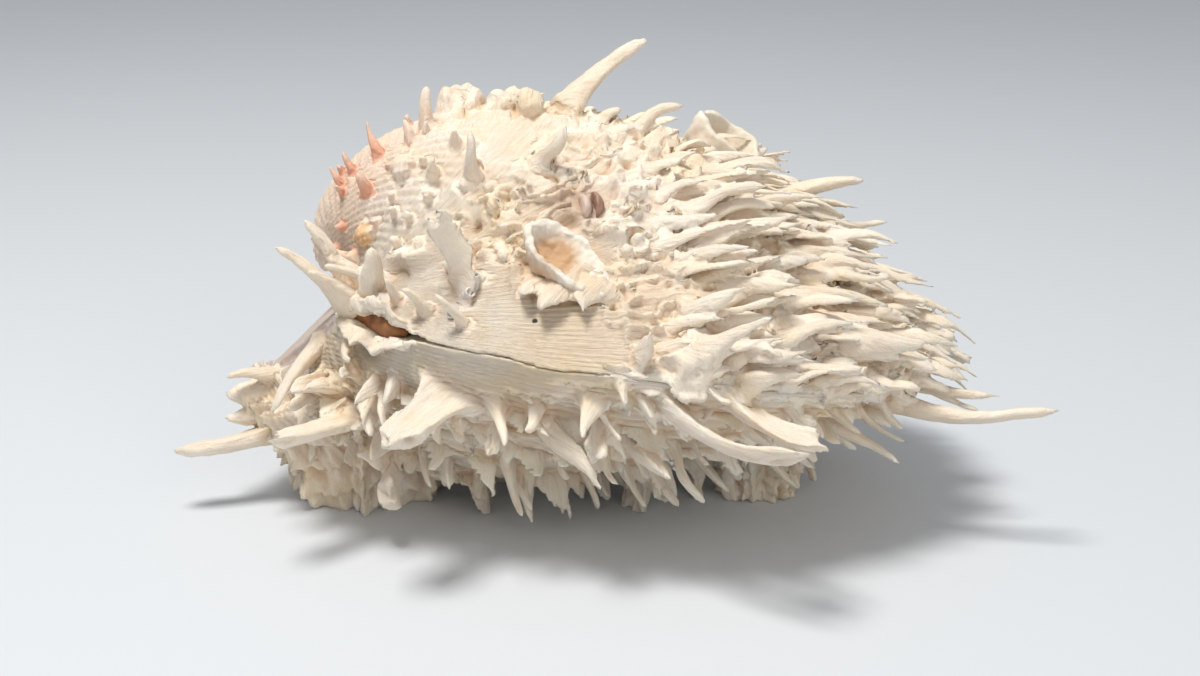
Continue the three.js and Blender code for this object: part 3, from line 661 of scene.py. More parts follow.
UPPER_FRILLS = [
    (((-156, 0.985), (-131, 0.985)), 3.2, -0.8, 4.0, 0.0, 0.75),
    (((-48, 0.6), (140, 0.6)), 1.2, 1.2, 4.5, 0.6, 0.28),
    (((-56, 0.67), (140, 0.67)), 1.4, 1.2, 5.0, 0.8, 0.28),
    (((-64, 0.74), (140, 0.74)), 1.5, 1.2, 5.0, 0.8, 0.28),
    (((-66, 0.81), (140, 0.8)), 1.6, 1.2, 5.2, 0.8, 0.28),
    (((-70, 0.88), (140, 0.86)), 1.6, 1.2, 5.2, 0.8, 0.28),
    (((-74, 0.935), (140, 0.92)), 1.6, 1.2, 5.0, 0.8, 0.28),
    (((-62, 0.98), (140, 0.975)), 1.4, 1.1, 5.0, 0.6, 0.28),
    (((-58, 0.46), (14, 0.5)), 1.3, 0.9, 3.6, 0.5, 0.28),
    (((-84, 0.53), (4, 0.55)), 1.9, 0.9, 3.4, 0.5, 0.28),
    (((-98, 0.6), (-50, 0.57)), 2.4, 0.7, 3.6, 0.5, 0.28),
    (((-92, 0.66), (-52, 0.63)), 2.4, 0.7, 3.4, 0.6, 0.28),
    (((-80, 0.74), (-58, 0.7)), 2.6, 0.7, 3.2, 0.6, 0.28),
    (((-84, 0.79), (-62, 0.77)), 2.0, 0.8, 3.0, 0.5, 0.28),
    (((-78, 0.85), (-66, 0.84)), 1.8, 0.8, 3.0, 0.4, 0.28),
]
FRILL_ROWS = 8
RIB_SPINE_CLEARANCE = 4.0
RIBS_REACH = 150  # degrees on each side of the middle of the rim
YOUNG_GROWTH = 0.36
# Metres along the floor between which the upper valve's leaves set in.
LEAVES_START = 0.003
LEAVES_FULL = 0.013


def frill(heap, valve, row, rng):
    """A growth line that stands up as a thin curtain, drawn out to folded points."""
    course, height, lean, step, fold, low = row
    angles, growths = zip(*course)
    columns = int(abs(angles[-1] - angles[0]) * np.mean(growths) * 0.9 / (0.5))
    degrees = np.linspace(angles[0], angles[-1], columns)
    growth = np.interp(degrees, angles, growths)
    growth = growth + 0.012 * lumps(np.stack([degrees, degrees, 0 * degrees], -1), 14.0, len(heap.points))
    place, ahead, across, out = seat(valve, degrees, np.minimum(growth, LAST_SEATED_GROWTH))
    arc = np.concatenate([[0], np.cumsum(np.linalg.norm(np.diff(place, axis=0), axis=1))])
    ragged, thick = (0.5, 1.3) if fold else (0.12, 2.0)
    tall = height * low * (1 + ragged * lumps(np.stack([arc, 0 * arc, 0 * arc], -1), 2.4, len(heap.points)))
    tent = 0 * arc
    sweep = 0 * arc
    spot = rng.uniform(0, step)
    while spot < arc[-1]:
        reach = step * rng.uniform(0.55, 0.95)
        peak = np.clip(1 - np.maximum(np.abs(arc - spot) - 0.45, 0) / reach, 0, 1) ** 2.2
        rise = height * rng.uniform(0.35, 1.15)
        tall = np.maximum(tall, rise * peak)
        tent = np.maximum(tent, peak)
        sweep = np.where(peak > 0.01, rng.normal() * 0.35 + 0.3, sweep)
        spot += step * rng.uniform(0.6, 1.5)
    tall = tall * np.minimum(1, np.minimum(arc, arc[-1] - arc) / 5 + 0.1) * free_of_seats(valve, place, 1.5)
    sides = []
    for face in (1, -1):
        for index in range(FRILL_ROWS):
            t = index / (FRILL_ROWS - 1)
            slope = lean * (0.5 + 0.5 * t)
            rise = tall * t * math.cos(slope) - (1 - t)
            run = tall * t * math.sin(slope) + fold * tent * math.sin(math.pi * min(1, 0.25 + t * 0.6))
            run = run + 0.7 * ragged * t * np.sin(arc * 2.1 + 3 * len(heap.points))
            wall = face * thick * (1 - 0.5 * t) / 2
            side = place + out * (rise - wall * math.sin(slope))[:, None]
            side = side + ahead * (run + wall * math.cos(slope))[:, None]
            sides.append(side + across * (sweep * tall * t * tent)[:, None])
    loop = np.stack(sides[:FRILL_ROWS] + sides[FRILL_ROWS:][::-1], 1)
    ring = 2 * FRILL_ROWS
    second = np.arange(1, ring - 1)
    cap = np.stack([0 * second, second, second + 1], -1)
    faces = np.concatenate([grid_faces(columns, ring), cap, (cap + (columns - 1) * ring)[:, ::-1]])
    rows = np.arange(FRILL_ROWS) / (FRILL_ROWS - 1)
    share = np.concatenate([rows, rows[::-1]])
    along = np.outer(tall, share).ravel()
    tip = np.outer(np.minimum(1, tall / height), share).ravel()
    heap.add(loop.reshape(-1, 3), faces, np.repeat(arc, ring), along, tip, np.repeat(growth, ring))


def rib_spines(heap, valve, ribs, lines, size, rng):
    """Ordinary spines on radial ribs.

    size(growth, degrees, draw) gives what follows the place in a spine's row, or None for no spine.
    """
    for number, line in enumerate(lines):
        skip = 1 if line > 0.62 else 2 if line > 0.34 else 3
        for index in range(0, ribs, skip):
            offset = 0.5 * (number % 2) * skip
            degrees = -RIBS_REACH + 2 * RIBS_REACH * (index + offset + 0.3 * rng.normal()) / ribs
            growth = line * (1 + 0.018 * rng.normal())
            draw = rng.uniform(size=6)
            made = size(growth, degrees, draw)
            if made is None or growth > 1.0:
                continue
            if free_of_seats(valve, seat(valve, degrees, growth)[0][None], 0.01)[0] < 0.5:
                continue
            add_spine(heap, valve, (degrees, growth) + made, rng, RIB_SPINE_CLEARANCE)


def upper_spine_size(growth, degrees, draw):
    """Leaves crowd the half towards the lip; the beak has thorns; the front flank is bare."""
    if growth < YOUNG_GROWTH:
        return thorn_size(draw, 1.9) if draw[4] < 0.36 else None
    here = rest(valve_point(UPPER, growth, math.radians(degrees))[None])[0]
    crowd = ease(LEAVES_START - 0.02 * (degrees > -30), LEAVES_FULL, here[0])
    if degrees < -84 and growth > 0.7:
        return None
    if draw[5] > crowd:
        return bump_size(draw) if -112 < degrees < -48 and growth < 0.74 and draw[4] < 0.4 else None
    young = np.clip((growth - YOUNG_GROWTH) / 0.3, 0.35, 1) * (1 if growth < 0.93 else 0.75)
    length = (8.5 + 9 * draw[0] ** 1.5) * young
    lean = math.radians(57 + 20 * draw[1])
    sweep = -math.sin(math.radians(degrees)) * 0.85 + 0.3 * (draw[2] - 0.5)
    width = 2.6 + 2.0 * draw[3]
    out, run = length * math.cos(lean), length * math.sin(lean)
    make = BLADE if draw[4] < 0.8 else SPOON if draw[4] < 0.9 else HORN
    ahead, across = run * math.sqrt(max(0.15, 1 - sweep**2)), run * sweep
    return (out, ahead, across, width, 0.5 * width, 0.42, 0.5 * out, make)


def bump_size(draw):
    """A low rounded knob."""
    rise = 0.9 + 1.8 * draw[0] ** 2
    return (rise, 0.2, 0.8 * (draw[1] - 0.5), 2.0 + 1.2 * draw[2], 1.7, 0.95, 0.5 * rise, THORN)


def thorn_size(draw, length):
    """A small thorn of the young shell."""
    reach = length * (0.6 + 0.9 * draw[0])
    return (reach, 0.4 * reach, 0.3 * (draw[1] - 0.5) * reach, 2.2, 0.8, 0.9, 0.5 * reach, THORN)


def lower_spine_size(growth, degrees, draw):
    """Mixed spines, fewer than leaves, none at the hinge or under the front ear."""
    if abs(degrees) > 136 or degrees < -96 and growth > 0.76 or draw[5] > 0.4:
        return None
    length = (4.5 + 7 * draw[0]) * np.clip(growth / 0.5, 0.6, 1)
    if growth > 0.93:
        length *= 0.5
    lean = math.radians(12 + 40 * draw[1] * growth)
    width = 3.2 + 2.4 * draw[3]
    out, run = length * math.cos(lean), length * math.sin(lean)
    sweep = -math.sin(math.radians(degrees)) * 0.3 + 0.5 * (draw[2] - 0.5)
    make = (THORN, BLADE, SPOON, HORN)[int(draw[4] * 3.99)]
    return (out, run, length * sweep * 0.5, width, 0.4 * width, 0.5, 0.5 * out, make)


# ---------------------------------------------------------------- what the shell grew on
# A pleated mass: centre on the floor, half widths at the floor and at its top, height, pleats.
PLEATED_MASSES = [
    ((-43.0, 0.5), (12.0, 11.5), (23.0, 18.0), 21.0, 13),
    ((30.0, -1.0), (7.5, 5.0), (10.0, 8.0), 15.0, 9),
]


def pleated_mass(heap, centre, foot, top, height, pleats, rng):
    """Folded sheets grown together, narrow on the floor and wide where the valve sits on them."""
    columns, rows = ((240, 56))
    around = np.linspace(0, 2 * math.pi, columns, endpoint=False)
    phase = rng.uniform(0, 6, 3)
    drift = around + 0.3 * np.sin(2 * around + phase[0]) + 0.16 * np.sin(5 * around + phase[1])
    pleat = 1 - 2 * np.abs(np.sin(0.5 * pleats * drift)) ** 0.8
    small = 1 - 2 * np.abs(np.sin(1.5 * pleats * drift + phase[2]))
    size = 0.4 + 0.6 * min(foot) / 10
    layers = []
    for row in range(rows):
        t = row / (rows - 1)
        ledge = (t * 4 + 0.5 * np.sin(3 * around + phase[1]) + 0.3 * pleat) % 1
        swell = 0.3 + 0.7 * math.sin(math.pi * t)
        wide = foot[0] + (top[0] - foot[0]) * t**0.75
        deep = foot[1] + (top[1] - foot[1]) * t**0.75
        extra = size * (2.6 * pleat * (0.6 + 0.4 * t) + 0.7 * small - 3.0 * ledge**0.6 * swell)
        x = centre[0] + (wide + extra) * np.cos(around)
        y = centre[1] + (deep + extra) * np.sin(around)
        layers.append(np.stack([x, y, np.full(columns, height * t - 0.3)], -1))
    ends = [[centre[0], centre[1], -0.3], [centre[0], centre[1], height]]
    points = unrest(np.concatenate(layers + [ends]) / 1000)
    across = np.append(np.tile(drift * foot[0], rows), [0, 0])
    along = np.append(np.repeat(np.arange(rows) * height / rows, columns), [0, 0])
    heap.add(points, closed_faces(rows, columns), across, along, 0.1, 0.5)


# ---------------------------------------------------------------- fusing and carving
FIBRE = 0.9
FIBRE_LENGTH = 7.0
HOLLOW_ROUNDS = 24


def fuse(heap, name):
    """All shells of a heap grown together into one closed skin."""
    piece = mesh_object(name, heap.points, heap.faces)
    apply_modifier(piece, "REMESH", mode="VOXEL", voxel_size=VOXEL)
    keep_main_part(piece)
    apply_modifier(piece, "SMOOTH", factor=0.5, iterations=2)
    return piece


def keep_main_part(piece):
    """Drops crumbs and closed bubbles: only the largest connected skin is kept."""
    edges = np.empty(2 * len(piece.data.edges), dtype=np.int32)
    piece.data.edges.foreach_get("vertices", edges)
    one, other = edges.reshape(-1, 2).T
    part = np.arange(len(piece.data.vertices))
    while True:
        low = np.minimum(part[one], part[other])
        joined = part.copy()
        np.minimum.at(joined, one, low)
        np.minimum.at(joined, other, low)
        joined = joined[joined]
        if (joined == part).all():
            break
        part = joined
    select_only(piece)
    bpy.ops.object.mode_set(mode="EDIT")
    bpy.ops.mesh.select_mode(type="VERT")
    bpy.ops.mesh.select_all(action="DESELECT")
    bpy.ops.object.mode_set(mode="OBJECT")
    piece.data.vertices.foreach_set("select", part != np.bincount(part).argmax())
    bpy.ops.object.mode_set(mode="EDIT")
    bpy.ops.mesh.delete(type="VERT")
    bpy.ops.object.mode_set(mode="OBJECT")


def smoothed(piece, points, rounds):
    """The points after each was moved, round after round, to the middle of its neighbours."""
    edges = np.empty(len(piece.data.edges) * 2, int)
    piece.data.edges.foreach_get("vertices", edges)
    near, far = edges.reshape(-1, 2).T
    valence = np.maximum(np.bincount(edges, minlength=len(points)), 1)
    for _ in range(rounds):
        columns = []
        for column in points.T:
            total = np.bincount(near, column[far], len(points)) + np.bincount(far, column[near], len(points))
            columns.append(total / valence)
        points = np.stack(columns, -1)
    return points


def upper_relief(points, growth, degrees):
    """Millimetres of relief on the upper valve's bare skin."""
    lumpy = ease(0.34, 0.42, growth) * (1 - ease(0.66, 0.76, growth)) * (1 - ease(-58, -46, degrees))
    band = ease(0.76, 0.84, growth) * (1 - ease(-92, -80, degrees))
    crest = ease(0.27, 0.33, growth) * (1 - ease(0.44, 0.5, growth)) * ease(-30, -20, degrees)
    crest = crest * (1 - ease(30, 40, degrees))
    rough = ease(0.42, 0.52, growth) * (1 - band) * ease(-104, -92, degrees)
    beak = 1 - ease(0.34, 0.46, growth)
    knobs = np.maximum(0, lumps(points, 3.4, 4) + 0.1) ** 1.3
    pits = ease(0.25, 0.6, lumps(points, 1.5, 5))
    crests = (1 - np.abs(lumps(points * np.array([0.7, 1, 1.6]), 3.4, 6))) ** 5
    lines = np.sin(STRAND_SCALE * growth * 2 * math.pi / 2.1 + 2.6 * lumps(points, 8.0, 3))
    uneven = 0.5 * lumps(points, 6.0, 1) + 0.22 * lumps(points, 2.4, 2)
    relief = (1 - 0.75 * band) * (1 - 0.6 * beak) * uneven
    relief = relief + 2.6 * lumpy * knobs + rough * (2.0 * crests - 0.9 * pits)
    relief = relief + crest * (lumps(points, 2.1, 14) - 0.5 * pits)
    relief = relief + (0.09 + 0.1 * band) * lines
    return relief + beak * 0.16 * np.cos(np.radians(degrees) * 60)


def lower_relief(points, growth, _degrees):
    """Millimetres of relief on the lower valve's bare skin."""
    band = ease(0.72, 0.8, growth)
    lines = np.sin(STRAND_SCALE * growth * 2 * math.pi / 3.6 + 2.6 * lumps(points, 6.0, 3))
    relief = (1 - 0.7 * band) * (0.6 * lumps(points, 5.0, 1) + 0.3 * lumps(points, 2.2, 2))
    return relief + 0.2 * lines + 0.14 * lumps(points, 1.3, 7)


def carve(piece, valve, heap):
    """Raises the relief of the skin and the fibres of the spines."""
    points, normals = mesh_points(piece), mesh_normals(piece)
    growth, angle, past = growth_of(valve, points)
    across, along, number, tip, _ = nearest_strands(heap, points).T
    degrees = np.degrees(angle)
    relief = upper_relief if valve is UPPER else lower_relief
    bare = 1 - ease(0.06, 0.3, tip)
    off_hinge = ease(0.6, 2.5, rim_unit(valve, points, growth)[:, 0])
    outside = ease(-2.0, -0.8, past) * (0.15 + 0.85 * off_hinge)
    seam = ease(0.4, 2.0, np.abs(points[:, 2]))
    fibres = np.stack([across / FIBRE, along / FIBRE_LENGTH, number * 3.7], -1)
    rise = bare * (0.25 + 0.75 * seam) * relief(points, growth, degrees)
    rise = rise * (0.2 + 0.8 * free_of_seats(valve, points, 2.0))
    rise = rise + (1 - bare) * (0.17 * lumps(fibres, 1.0, 12) + 0.12 * lumps(points, 1.7, 13))
    set_points(piece, points + normals * (rise * outside)[:, None])


def write_attribute(piece, name, values):
    attribute = piece.data.attributes.new(name, "FLOAT", "POINT")
    attribute.data.foreach_set("value", values.astype(np.float32))


def finish_valve(piece, valve, heap):
    """Lays the valve on the floor, thins its mesh, and notes on it what its colours follow.

    line is the growth line. hollow is how far a point lies in a dip, in millimetres. strand is
    the number of the shell that a point came from, and sure is 0 on the seams between shells.
    hinge is how far the full-grown place lies ahead of the hinge line.
    """
    standing = rest(mesh_points(piece))
    standing[:, 2] = np.maximum(standing[:, 2], 0)
    set_points(piece, standing)
    triangles = len(piece.data.polygons) * 2
    if triangles > MOST_TRIANGLES:
        apply_modifier(piece, "TRIANGULATE")
        apply_modifier(piece, "DECIMATE", ratio=MOST_TRIANGLES / triangles)
    points = unrest(mesh_points(piece))
    growth = growth_of(valve, points)[0]
    across, along, number, tip, line = nearest_strands(heap, points).T
    strand = np.round(number)
    sure = 1 - np.minimum(1, np.abs(smoothed(piece, strand[:, None], 1)[:, 0] - strand) * 50)
    sunk = smoothed(piece, mesh_points(piece), HOLLOW_ROUNDS) - mesh_points(piece)
    write_attribute(piece, "line", line)
    write_attribute(piece, "tip", tip)
    write_attribute(piece, "hollow", (sunk * mesh_normals(piece)).sum(1) * 1000)
    write_attribute(piece, "across", across)
    write_attribute(piece, "along", along)
    write_attribute(piece, "strand", strand)
    write_attribute(piece, "sure", sure)
    write_attribute(piece, "hinge", rim_unit(valve, points, growth)[:, 0])
    shade_smooth(piece)


def shade_smooth(piece):
    select_only(piece)
    bpy.ops.object.shade_smooth()


UPPER_SEED = 5
LOWER_SEED = 11
# How many radial ribs carry ordinary spines, and the growth lines that these stand on.
UPPER_RIBS = 54
LOWER_RIBS = 46
UPPER_LINES = (
    0.14, 0.18, 0.22, 0.26, 0.3, 0.34, 0.39, 0.44, 0.49, 0.54, 0.585, 0.63, 0.67, 0.71, 0.75,
    0.79, 0.83, 0.87, 0.91, 0.945, 0.98,
)
LOWER_LINES = (0.2, 0.28, 0.35, 0.42, 0.49, 0.56, 0.63, 0.7, 0.77, 0.84, 0.91, 0.96)


def grown_valve(name, valve, seed, spines, extras, ribs, frills):
    """All the shells of one valve heaped up, fused, carved and laid on the floor."""
    rng = np.random.default_rng(seed)
    heap = Heap()
    valve_skin(heap, valve)
    if valve is LOWER:
        hinge_area(heap)
    for row in spines:
        add_spine(heap, valve, row, rng)
    for maker, rows in extras:
        for row in rows:
            maker(heap, *row, rng)
    rib_spines(heap, valve, *ribs, rng)
    for row in frills:
        frill(heap, valve, row, rng)
    heap.close(valve)
    piece = fuse(heap, name)
    carve(piece, valve, heap)
    finish_valve(piece, valve, heap)
    return piece


def upper_valve():
    extras = [(knob, KNOBS)]
    ribs = (UPPER_RIBS, UPPER_LINES, upper_spine_size)
    return grown_valve("upper_valve_shell", UPPER, UPPER_SEED, UPPER_SPINES, extras, ribs, UPPER_FRILLS)


def lower_valve():
    extras = [(foot_spine, FOOT_SPINES), (pleated_mass, PLEATED_MASSES)]
    ribs = (LOWER_RIBS, LOWER_LINES, lower_spine_size)
    return grown_valve("lower_valve_shell", LOWER, LOWER_SEED, LOWER_SPINES, extras, ribs, LOWER_FRILLS)


# ---------------------------------------------------------------- materials
class Shader:
    """A material's node tree, with one method that makes any node."""

    def __init__(self, name):
        self.material = bpy.data.materials.new(name)
        self.material.use_nodes = True
        self.tree = self.material.node_tree
        self.tree.nodes.clear()
        self.output = self.tree.nodes.new("ShaderNodeOutputMaterial")

    def node(self, kind, settings=None, output=0, **sockets):
        node = self.tree.nodes.new(kind)
        for name, value in (settings or {}).items():
            if name == "stops":
                self.set_stops(node.color_ramp, value)
            else:
                setattr(node, name, value)
        for name, value in sockets.items():
            self.feed(node.inputs[name.replace("_", " ")], value)
        return Socket(self, node, output)

    def feed(self, socket, value):
        if isinstance(value, Socket):
            self.tree.links.new(value.socket, socket)
        else:
            socket.default_value = value

    def set_stops(self, ramp, stops):
        while len(ramp.elements) > 1:
            ramp.elements.remove(ramp.elements[-1])
        ramp.elements[0].position, ramp.elements[0].color = stops[0][0], (*stops[0][1], 1)
        for position, colour in stops[1:]:
            ramp.elements.new(position).color = (*colour, 1)

    def math(self, operation, *values):
        made = self.node("ShaderNodeMath", {"operation": operation})
        for index, value in enumerate(values):
            self.feed(made.node.inputs[index], value)
        return made

    def attribute(self, name):
        return self.node("ShaderNodeAttribute", {"attribute_name": name}, output="Fac")

    def mix(self, factor, first, second):
        made = self.node("ShaderNodeMix", {"data_type": "RGBA"}, output=2)
        self.feed(made.node.inputs[0], factor)
        self.feed(made.node.inputs[6], first if isinstance(first, Socket) else (*first, 1))
        self.feed(made.node.inputs[7], second if isinstance(second, Socket) else (*second, 1))
        return made

    def noise(self, vector, scale, detail=4.0, roughness=0.55):
        return self.node(
            "ShaderNodeTexNoise", {}, output="Fac",
            Vector=vector, Scale=scale, Detail=detail, Roughness=roughness,
        )

    def ramp(self, value, low, high):
        """0 below low, 1 above high."""
        made = self.node("ShaderNodeMapRange", {"clamp": True}, output="Result")
        for name, number in (("Value", value), ("From Min", low), ("From Max", high)):
            self.feed(made.node.inputs[name], number)
        return made

    def near(self, place, spot, inner, outer):
        """1 within the inner distance of a spot, 0 past the outer one; the distances in millimetres."""
        apart = self.node("ShaderNodeVectorMath", {"operation": "DISTANCE"}, output="Value")
        self.feed(apart.node.inputs[0], place)
        apart.node.inputs[1].default_value = tuple(spot)
        return 1 - self.ramp(apart, inner / 1000, outer / 1000)

    def finish(self, colour, roughness, height=None, depth=0.0002, **constants):
        shader = self.node("ShaderNodeBsdfPrincipled", {}, Base_Color=colour, Roughness=roughness)
        for name, value in constants.items():
            shader.node.inputs[name.replace("_", " ")].default_value = value
        if height is not None:
            bump = self.node("ShaderNodeBump", {}, Height=height, Distance=depth, Strength=1.0)
            self.tree.links.new(bump.socket, shader.node.inputs["Normal"])
        self.tree.links.new(shader.node.outputs[0], self.output.inputs["Surface"])
        return self.material


def sum_method(operation, swapped=False):
    def method(self, other):
        return self.shader.math(operation, *((other, self) if swapped else (self, other)))

    return method


class Socket:
    """A node's output that takes part in Python sums."""

    def __init__(self, shader, node, output):
        self.shader = shader
        self.node = node
        self.socket = node.outputs[output]

    __add__ = sum_method("ADD")
    __radd__ = sum_method("ADD", swapped=True)
    __sub__ = sum_method("SUBTRACT")
    __rsub__ = sum_method("SUBTRACT", swapped=True)
    __mul__ = sum_method("MULTIPLY")
    __rmul__ = sum_method("MULTIPLY", swapped=True)


CREAM = (0.84, 0.71, 0.55)
WHITE = (0.89, 0.81, 0.70)
# painted shade: the tan that the skin is darkened to in its dips and in the grooves between fibres
PAINTED_DIP_SHADE = (0.62, 0.42, 0.26)
YELLOW = (0.86, 0.70, 0.44)
SALMON = (0.78, 0.33, 0.2)
PINK = (0.84, 0.64, 0.53)
LILAC = (0.8, 0.66, 0.64)
PURPLE = (0.5, 0.34, 0.42)

# Spots, some stains and some painted shade: angle, growth line, inner and outer distance in millimetres,
# strength, colour.
UPPER_STAINS_AND_SHADE = [
    (-107, 0.28, 1.6, 2.8, 0.85, (0.85, 0.55, 0.27)),
    (-131, 0.46, 1.3, 1.9, 0.8, (0.5, 0.54, 0.64)),
    # painted shade: brown in the nestler's pit
    (-66, 0.595, 2.5, 6.5, 0.6, (0.42, 0.28, 0.2)),
    (-84, 0.72, 5, 9, 0.35, (0.66, 0.47, 0.3)),
    (-65, 0.7, 0.55, 0.9, 0.95, (0.1, 0.04, 0.03)),
    (-101, 0.85, 0.35, 0.6, 0.95, (0.03, 0.02, 0.02)),
    (-73, 0.83, 0.4, 0.7, 0.9, (0.04, 0.03, 0.02)),
    # painted shade: dark where the valves part at the front ear
    (-136, 0.9, 1.0, 2.6, 0.6, (0.3, 0.22, 0.16)),
]
LOWER_STAINS_AND_SHADE = [
    (-106, 0.75, 0.35, 0.7, 0.95, (0.05, 0.04, 0.02)),
    # painted shade: dark where the valves part at the front ear
    (-137, 0.86, 1.0, 3.4, 0.6, (0.2, 0.18, 0.16)),
]


def valve_material(name, valve):
    """Cream shell with white tips and painted tan shade in its dips and fibre grooves; the beaks, and spots
    of stain and of painted shade, are coloured on top.
    """
    upper = valve is UPPER
    shader = Shader(name)
    place = shader.node("ShaderNodeTexCoord", {}, output="Object")
    line, hollow, tip, hinge = map(shader.attribute, ("line", "hollow", "tip", "hinge"))
    across, along, strand, sure = map(shader.attribute, ("across", "along", "strand", "sure"))
    blotch = shader.noise(place, 55.0, 3)
    fine = shader.noise(place, 420.0, 5, 0.6)
    colour = shader.mix(shader.ramp(blotch, 0.38, 0.62), CREAM, WHITE)
    colour = shader.mix(shader.ramp(shader.noise(place, 95.0, 2), 0.52, 0.72) * 0.45, colour, YELLOW)
    colour = shader.mix(shader.ramp(tip, 0.25, 0.9) * 0.7, colour, WHITE)
    # painted shade: the skin turns tan the deeper it lies in a dip
    colour = shader.mix(shader.ramp(hollow, 0.05, 1.1) * (0.35 + 0.65 * fine), colour, PAINTED_DIP_SHADE)
    if upper:
        young = 1 - shader.ramp(line, 0.2, 0.36)
        colour = shader.mix(young * 0.55, colour, PINK)
        spiny = shader.ramp(tip, 0.01, 0.12) * (1 - 0.6 * shader.ramp(tip, 0.4, 0.9))
        colour = shader.mix((1 - shader.ramp(line, 0.24, 0.31)) * spiny * 0.75, colour, SALMON)
    else:
        area = (1 - shader.ramp(hinge, 0.3, 1.2)) * (1 - shader.ramp(tip, 0.02, 0.08))
        edge = area * shader.ramp(hinge, -0.1, 0.5)
        colour = shader.mix(area * 0.5, colour, LILAC)
        colour = shader.mix(edge * 0.7, colour, PURPLE)
    for degrees, growth, inner, outer, strength, tint in UPPER_STAINS_AND_SHADE if upper else LOWER_STAINS_AND_SHADE:
        spot = rest(valve_point(valve, growth, math.radians(degrees))[None])[0]
        colour = shader.mix(shader.near(place, spot, inner, outer) * strength, colour, tint)
    fibre_place = shader.node("ShaderNodeCombineXYZ", {}, X=across * 1.6, Y=along * 0.16, Z=strand * 2.3)
    fibres = shader.noise(fibre_place, 1.0, 4, 0.7)
    # painted shade: tan in the grooves between the fibres, where the bump sinks
    colour = shader.mix(shader.ramp(fibres, 0.52, 0.36) * sure * 0.18, colour, PAINTED_DIP_SHADE)
    relief = fibres * sure * 1.5 + fine * 0.5 + shader.noise(place, 1400.0, 3, 0.6) * 0.35
    return shader.finish(
        colour, 0.66 + 0.2 * fine, relief, 0.00036, Specular_IOR_Level=0.3,
        Subsurface_Weight=0.25, Subsurface_Radius=(1.0, 0.6, 0.32), Subsurface_Scale=0.0016,
    )


# ---------------------------------------------------------------- stage
CAMERA_PLACE = (0.0006, -0.3252, 0.1397)
CAMERA_PITCH_DOWN = math.radians(18.55)
LENS = 55.65
SENSOR_WIDTH = 36
LIGHTS_AIM = (0, 0, 0.03)
WORLD_COLOUR = (0.95, 0.97, 1, 1)
WORLD_STRENGTH = 0.38


def camera_and_floor():
    bpy.ops.mesh.primitive_plane_add(size=6, location=(0, 0, 0))
    floor = bpy.context.object
    floor.name = "floor"
    shader = Shader("floor_paint")
    place = shader.node("ShaderNodeTexCoord", {}, output="Object")
    tone = shader.mix(shader.noise(place, 3.0, 2), (0.66, 0.7, 0.74), (0.68, 0.72, 0.76))
    floor.data.materials.append(shader.finish(tone, 0.6))

    camera = bpy.data.objects.new("camera", bpy.data.cameras.new("camera"))
    camera.data.lens = LENS
    camera.data.sensor_width = SENSOR_WIDTH
    camera.data.clip_start = 0.01
    camera.location = CAMERA_PLACE
    camera.rotation_euler = (math.pi / 2 - CAMERA_PITCH_DOWN, 0, 0)
    bpy.context.scene.collection.objects.link(camera)
    bpy.context.scene.camera = camera


def area_light(name, place, size, power, colour):
    light = bpy.data.lights.new(name, "AREA")
    light.shape = "DISK"
    light.size = size
    light.energy = power
    light.color = colour
    lamp = bpy.data.objects.new(name, light)
    lamp.location = place
    lamp.rotation_euler = (Vector(LIGHTS_AIM) - Vector(place)).to_track_quat("-Z", "Y").to_euler()
    bpy.context.scene.collection.objects.link(lamp)


def lights():
    area_light("key", (-0.16, -0.12, 0.75), 0.24, 5.1, (1, 0.96, 0.91))
    area_light("front_fill", (0.5, -0.8, 0.5), 0.6, 1.7, (1, 0.97, 0.93))
    world = bpy.data.worlds.new("studio")
    world.use_nodes = True
    background = world.node_tree.nodes["Background"]
    background.inputs[0].default_value = WORLD_COLOUR
    background.inputs[1].default_value = WORLD_STRENGTH
    bpy.context.scene.world = world
    bpy.context.scene.view_settings.view_transform = "Standard"


# ---------------------------------------------------------------- small pieces
def grown_piece(name, rows, levels=1):
    """A closed piece from rings of points in the shell's frame, rounded by subdivision."""
    ends = [rows[0].mean(0)[None], rows[-1].mean(0)[None]]
    points = np.concatenate(rows + ends)
    piece = mesh_object(name, rest(points), closed_faces(len(rows), len(rows[0])))
    select_only(piece)
    bpy.ops.object.mode_set(mode="EDIT")
    bpy.ops.mesh.select_all(action="SELECT")
    bpy.ops.mesh.normals_make_consistent(inside=False)
    bpy.ops.object.mode_set(mode="OBJECT")
    apply_modifier(piece, "SUBSURF", levels=levels)
    shade_smooth(piece)
    return piece


ROUGHEN_SEED = 20


def roughen(piece, amounts):
    """Moves each point along its normal by lumps: pairs of size and amount, in millimetres."""
    points, normals = mesh_points(piece), mesh_normals(piece)
    places = points * 1000
    for index, (size, amount) in enumerate(amounts):
        rise = amount / 1000 * lumps(places, size, ROUGHEN_SEED + index)
        points = points + normals * rise[:, None]
    set_points(piece, points)


CUP_COLUMNS = 72
CUP_BASE_DEPTH = 0.9
# Each ring of a dish: its reach from the middle, its share of the rim's height, and 1 if inside.
CUP_PROFILE = [
    (0.3, 0, 0), (0.62, 0, 0), (0.84, 0.12, 0), (0.95, 0.5, 0), (1.0, 0.85, 0), (1.01, 0.97, 0),
    (0.97, 1.02, 0), (1.0, 1.03, 1), (0.97, 0.93, 1), (0.88, 0.6, 1), (0.7, 0.26, 1),
    (0.45, 0.08, 1), (0.15, 0.02, 1),
]


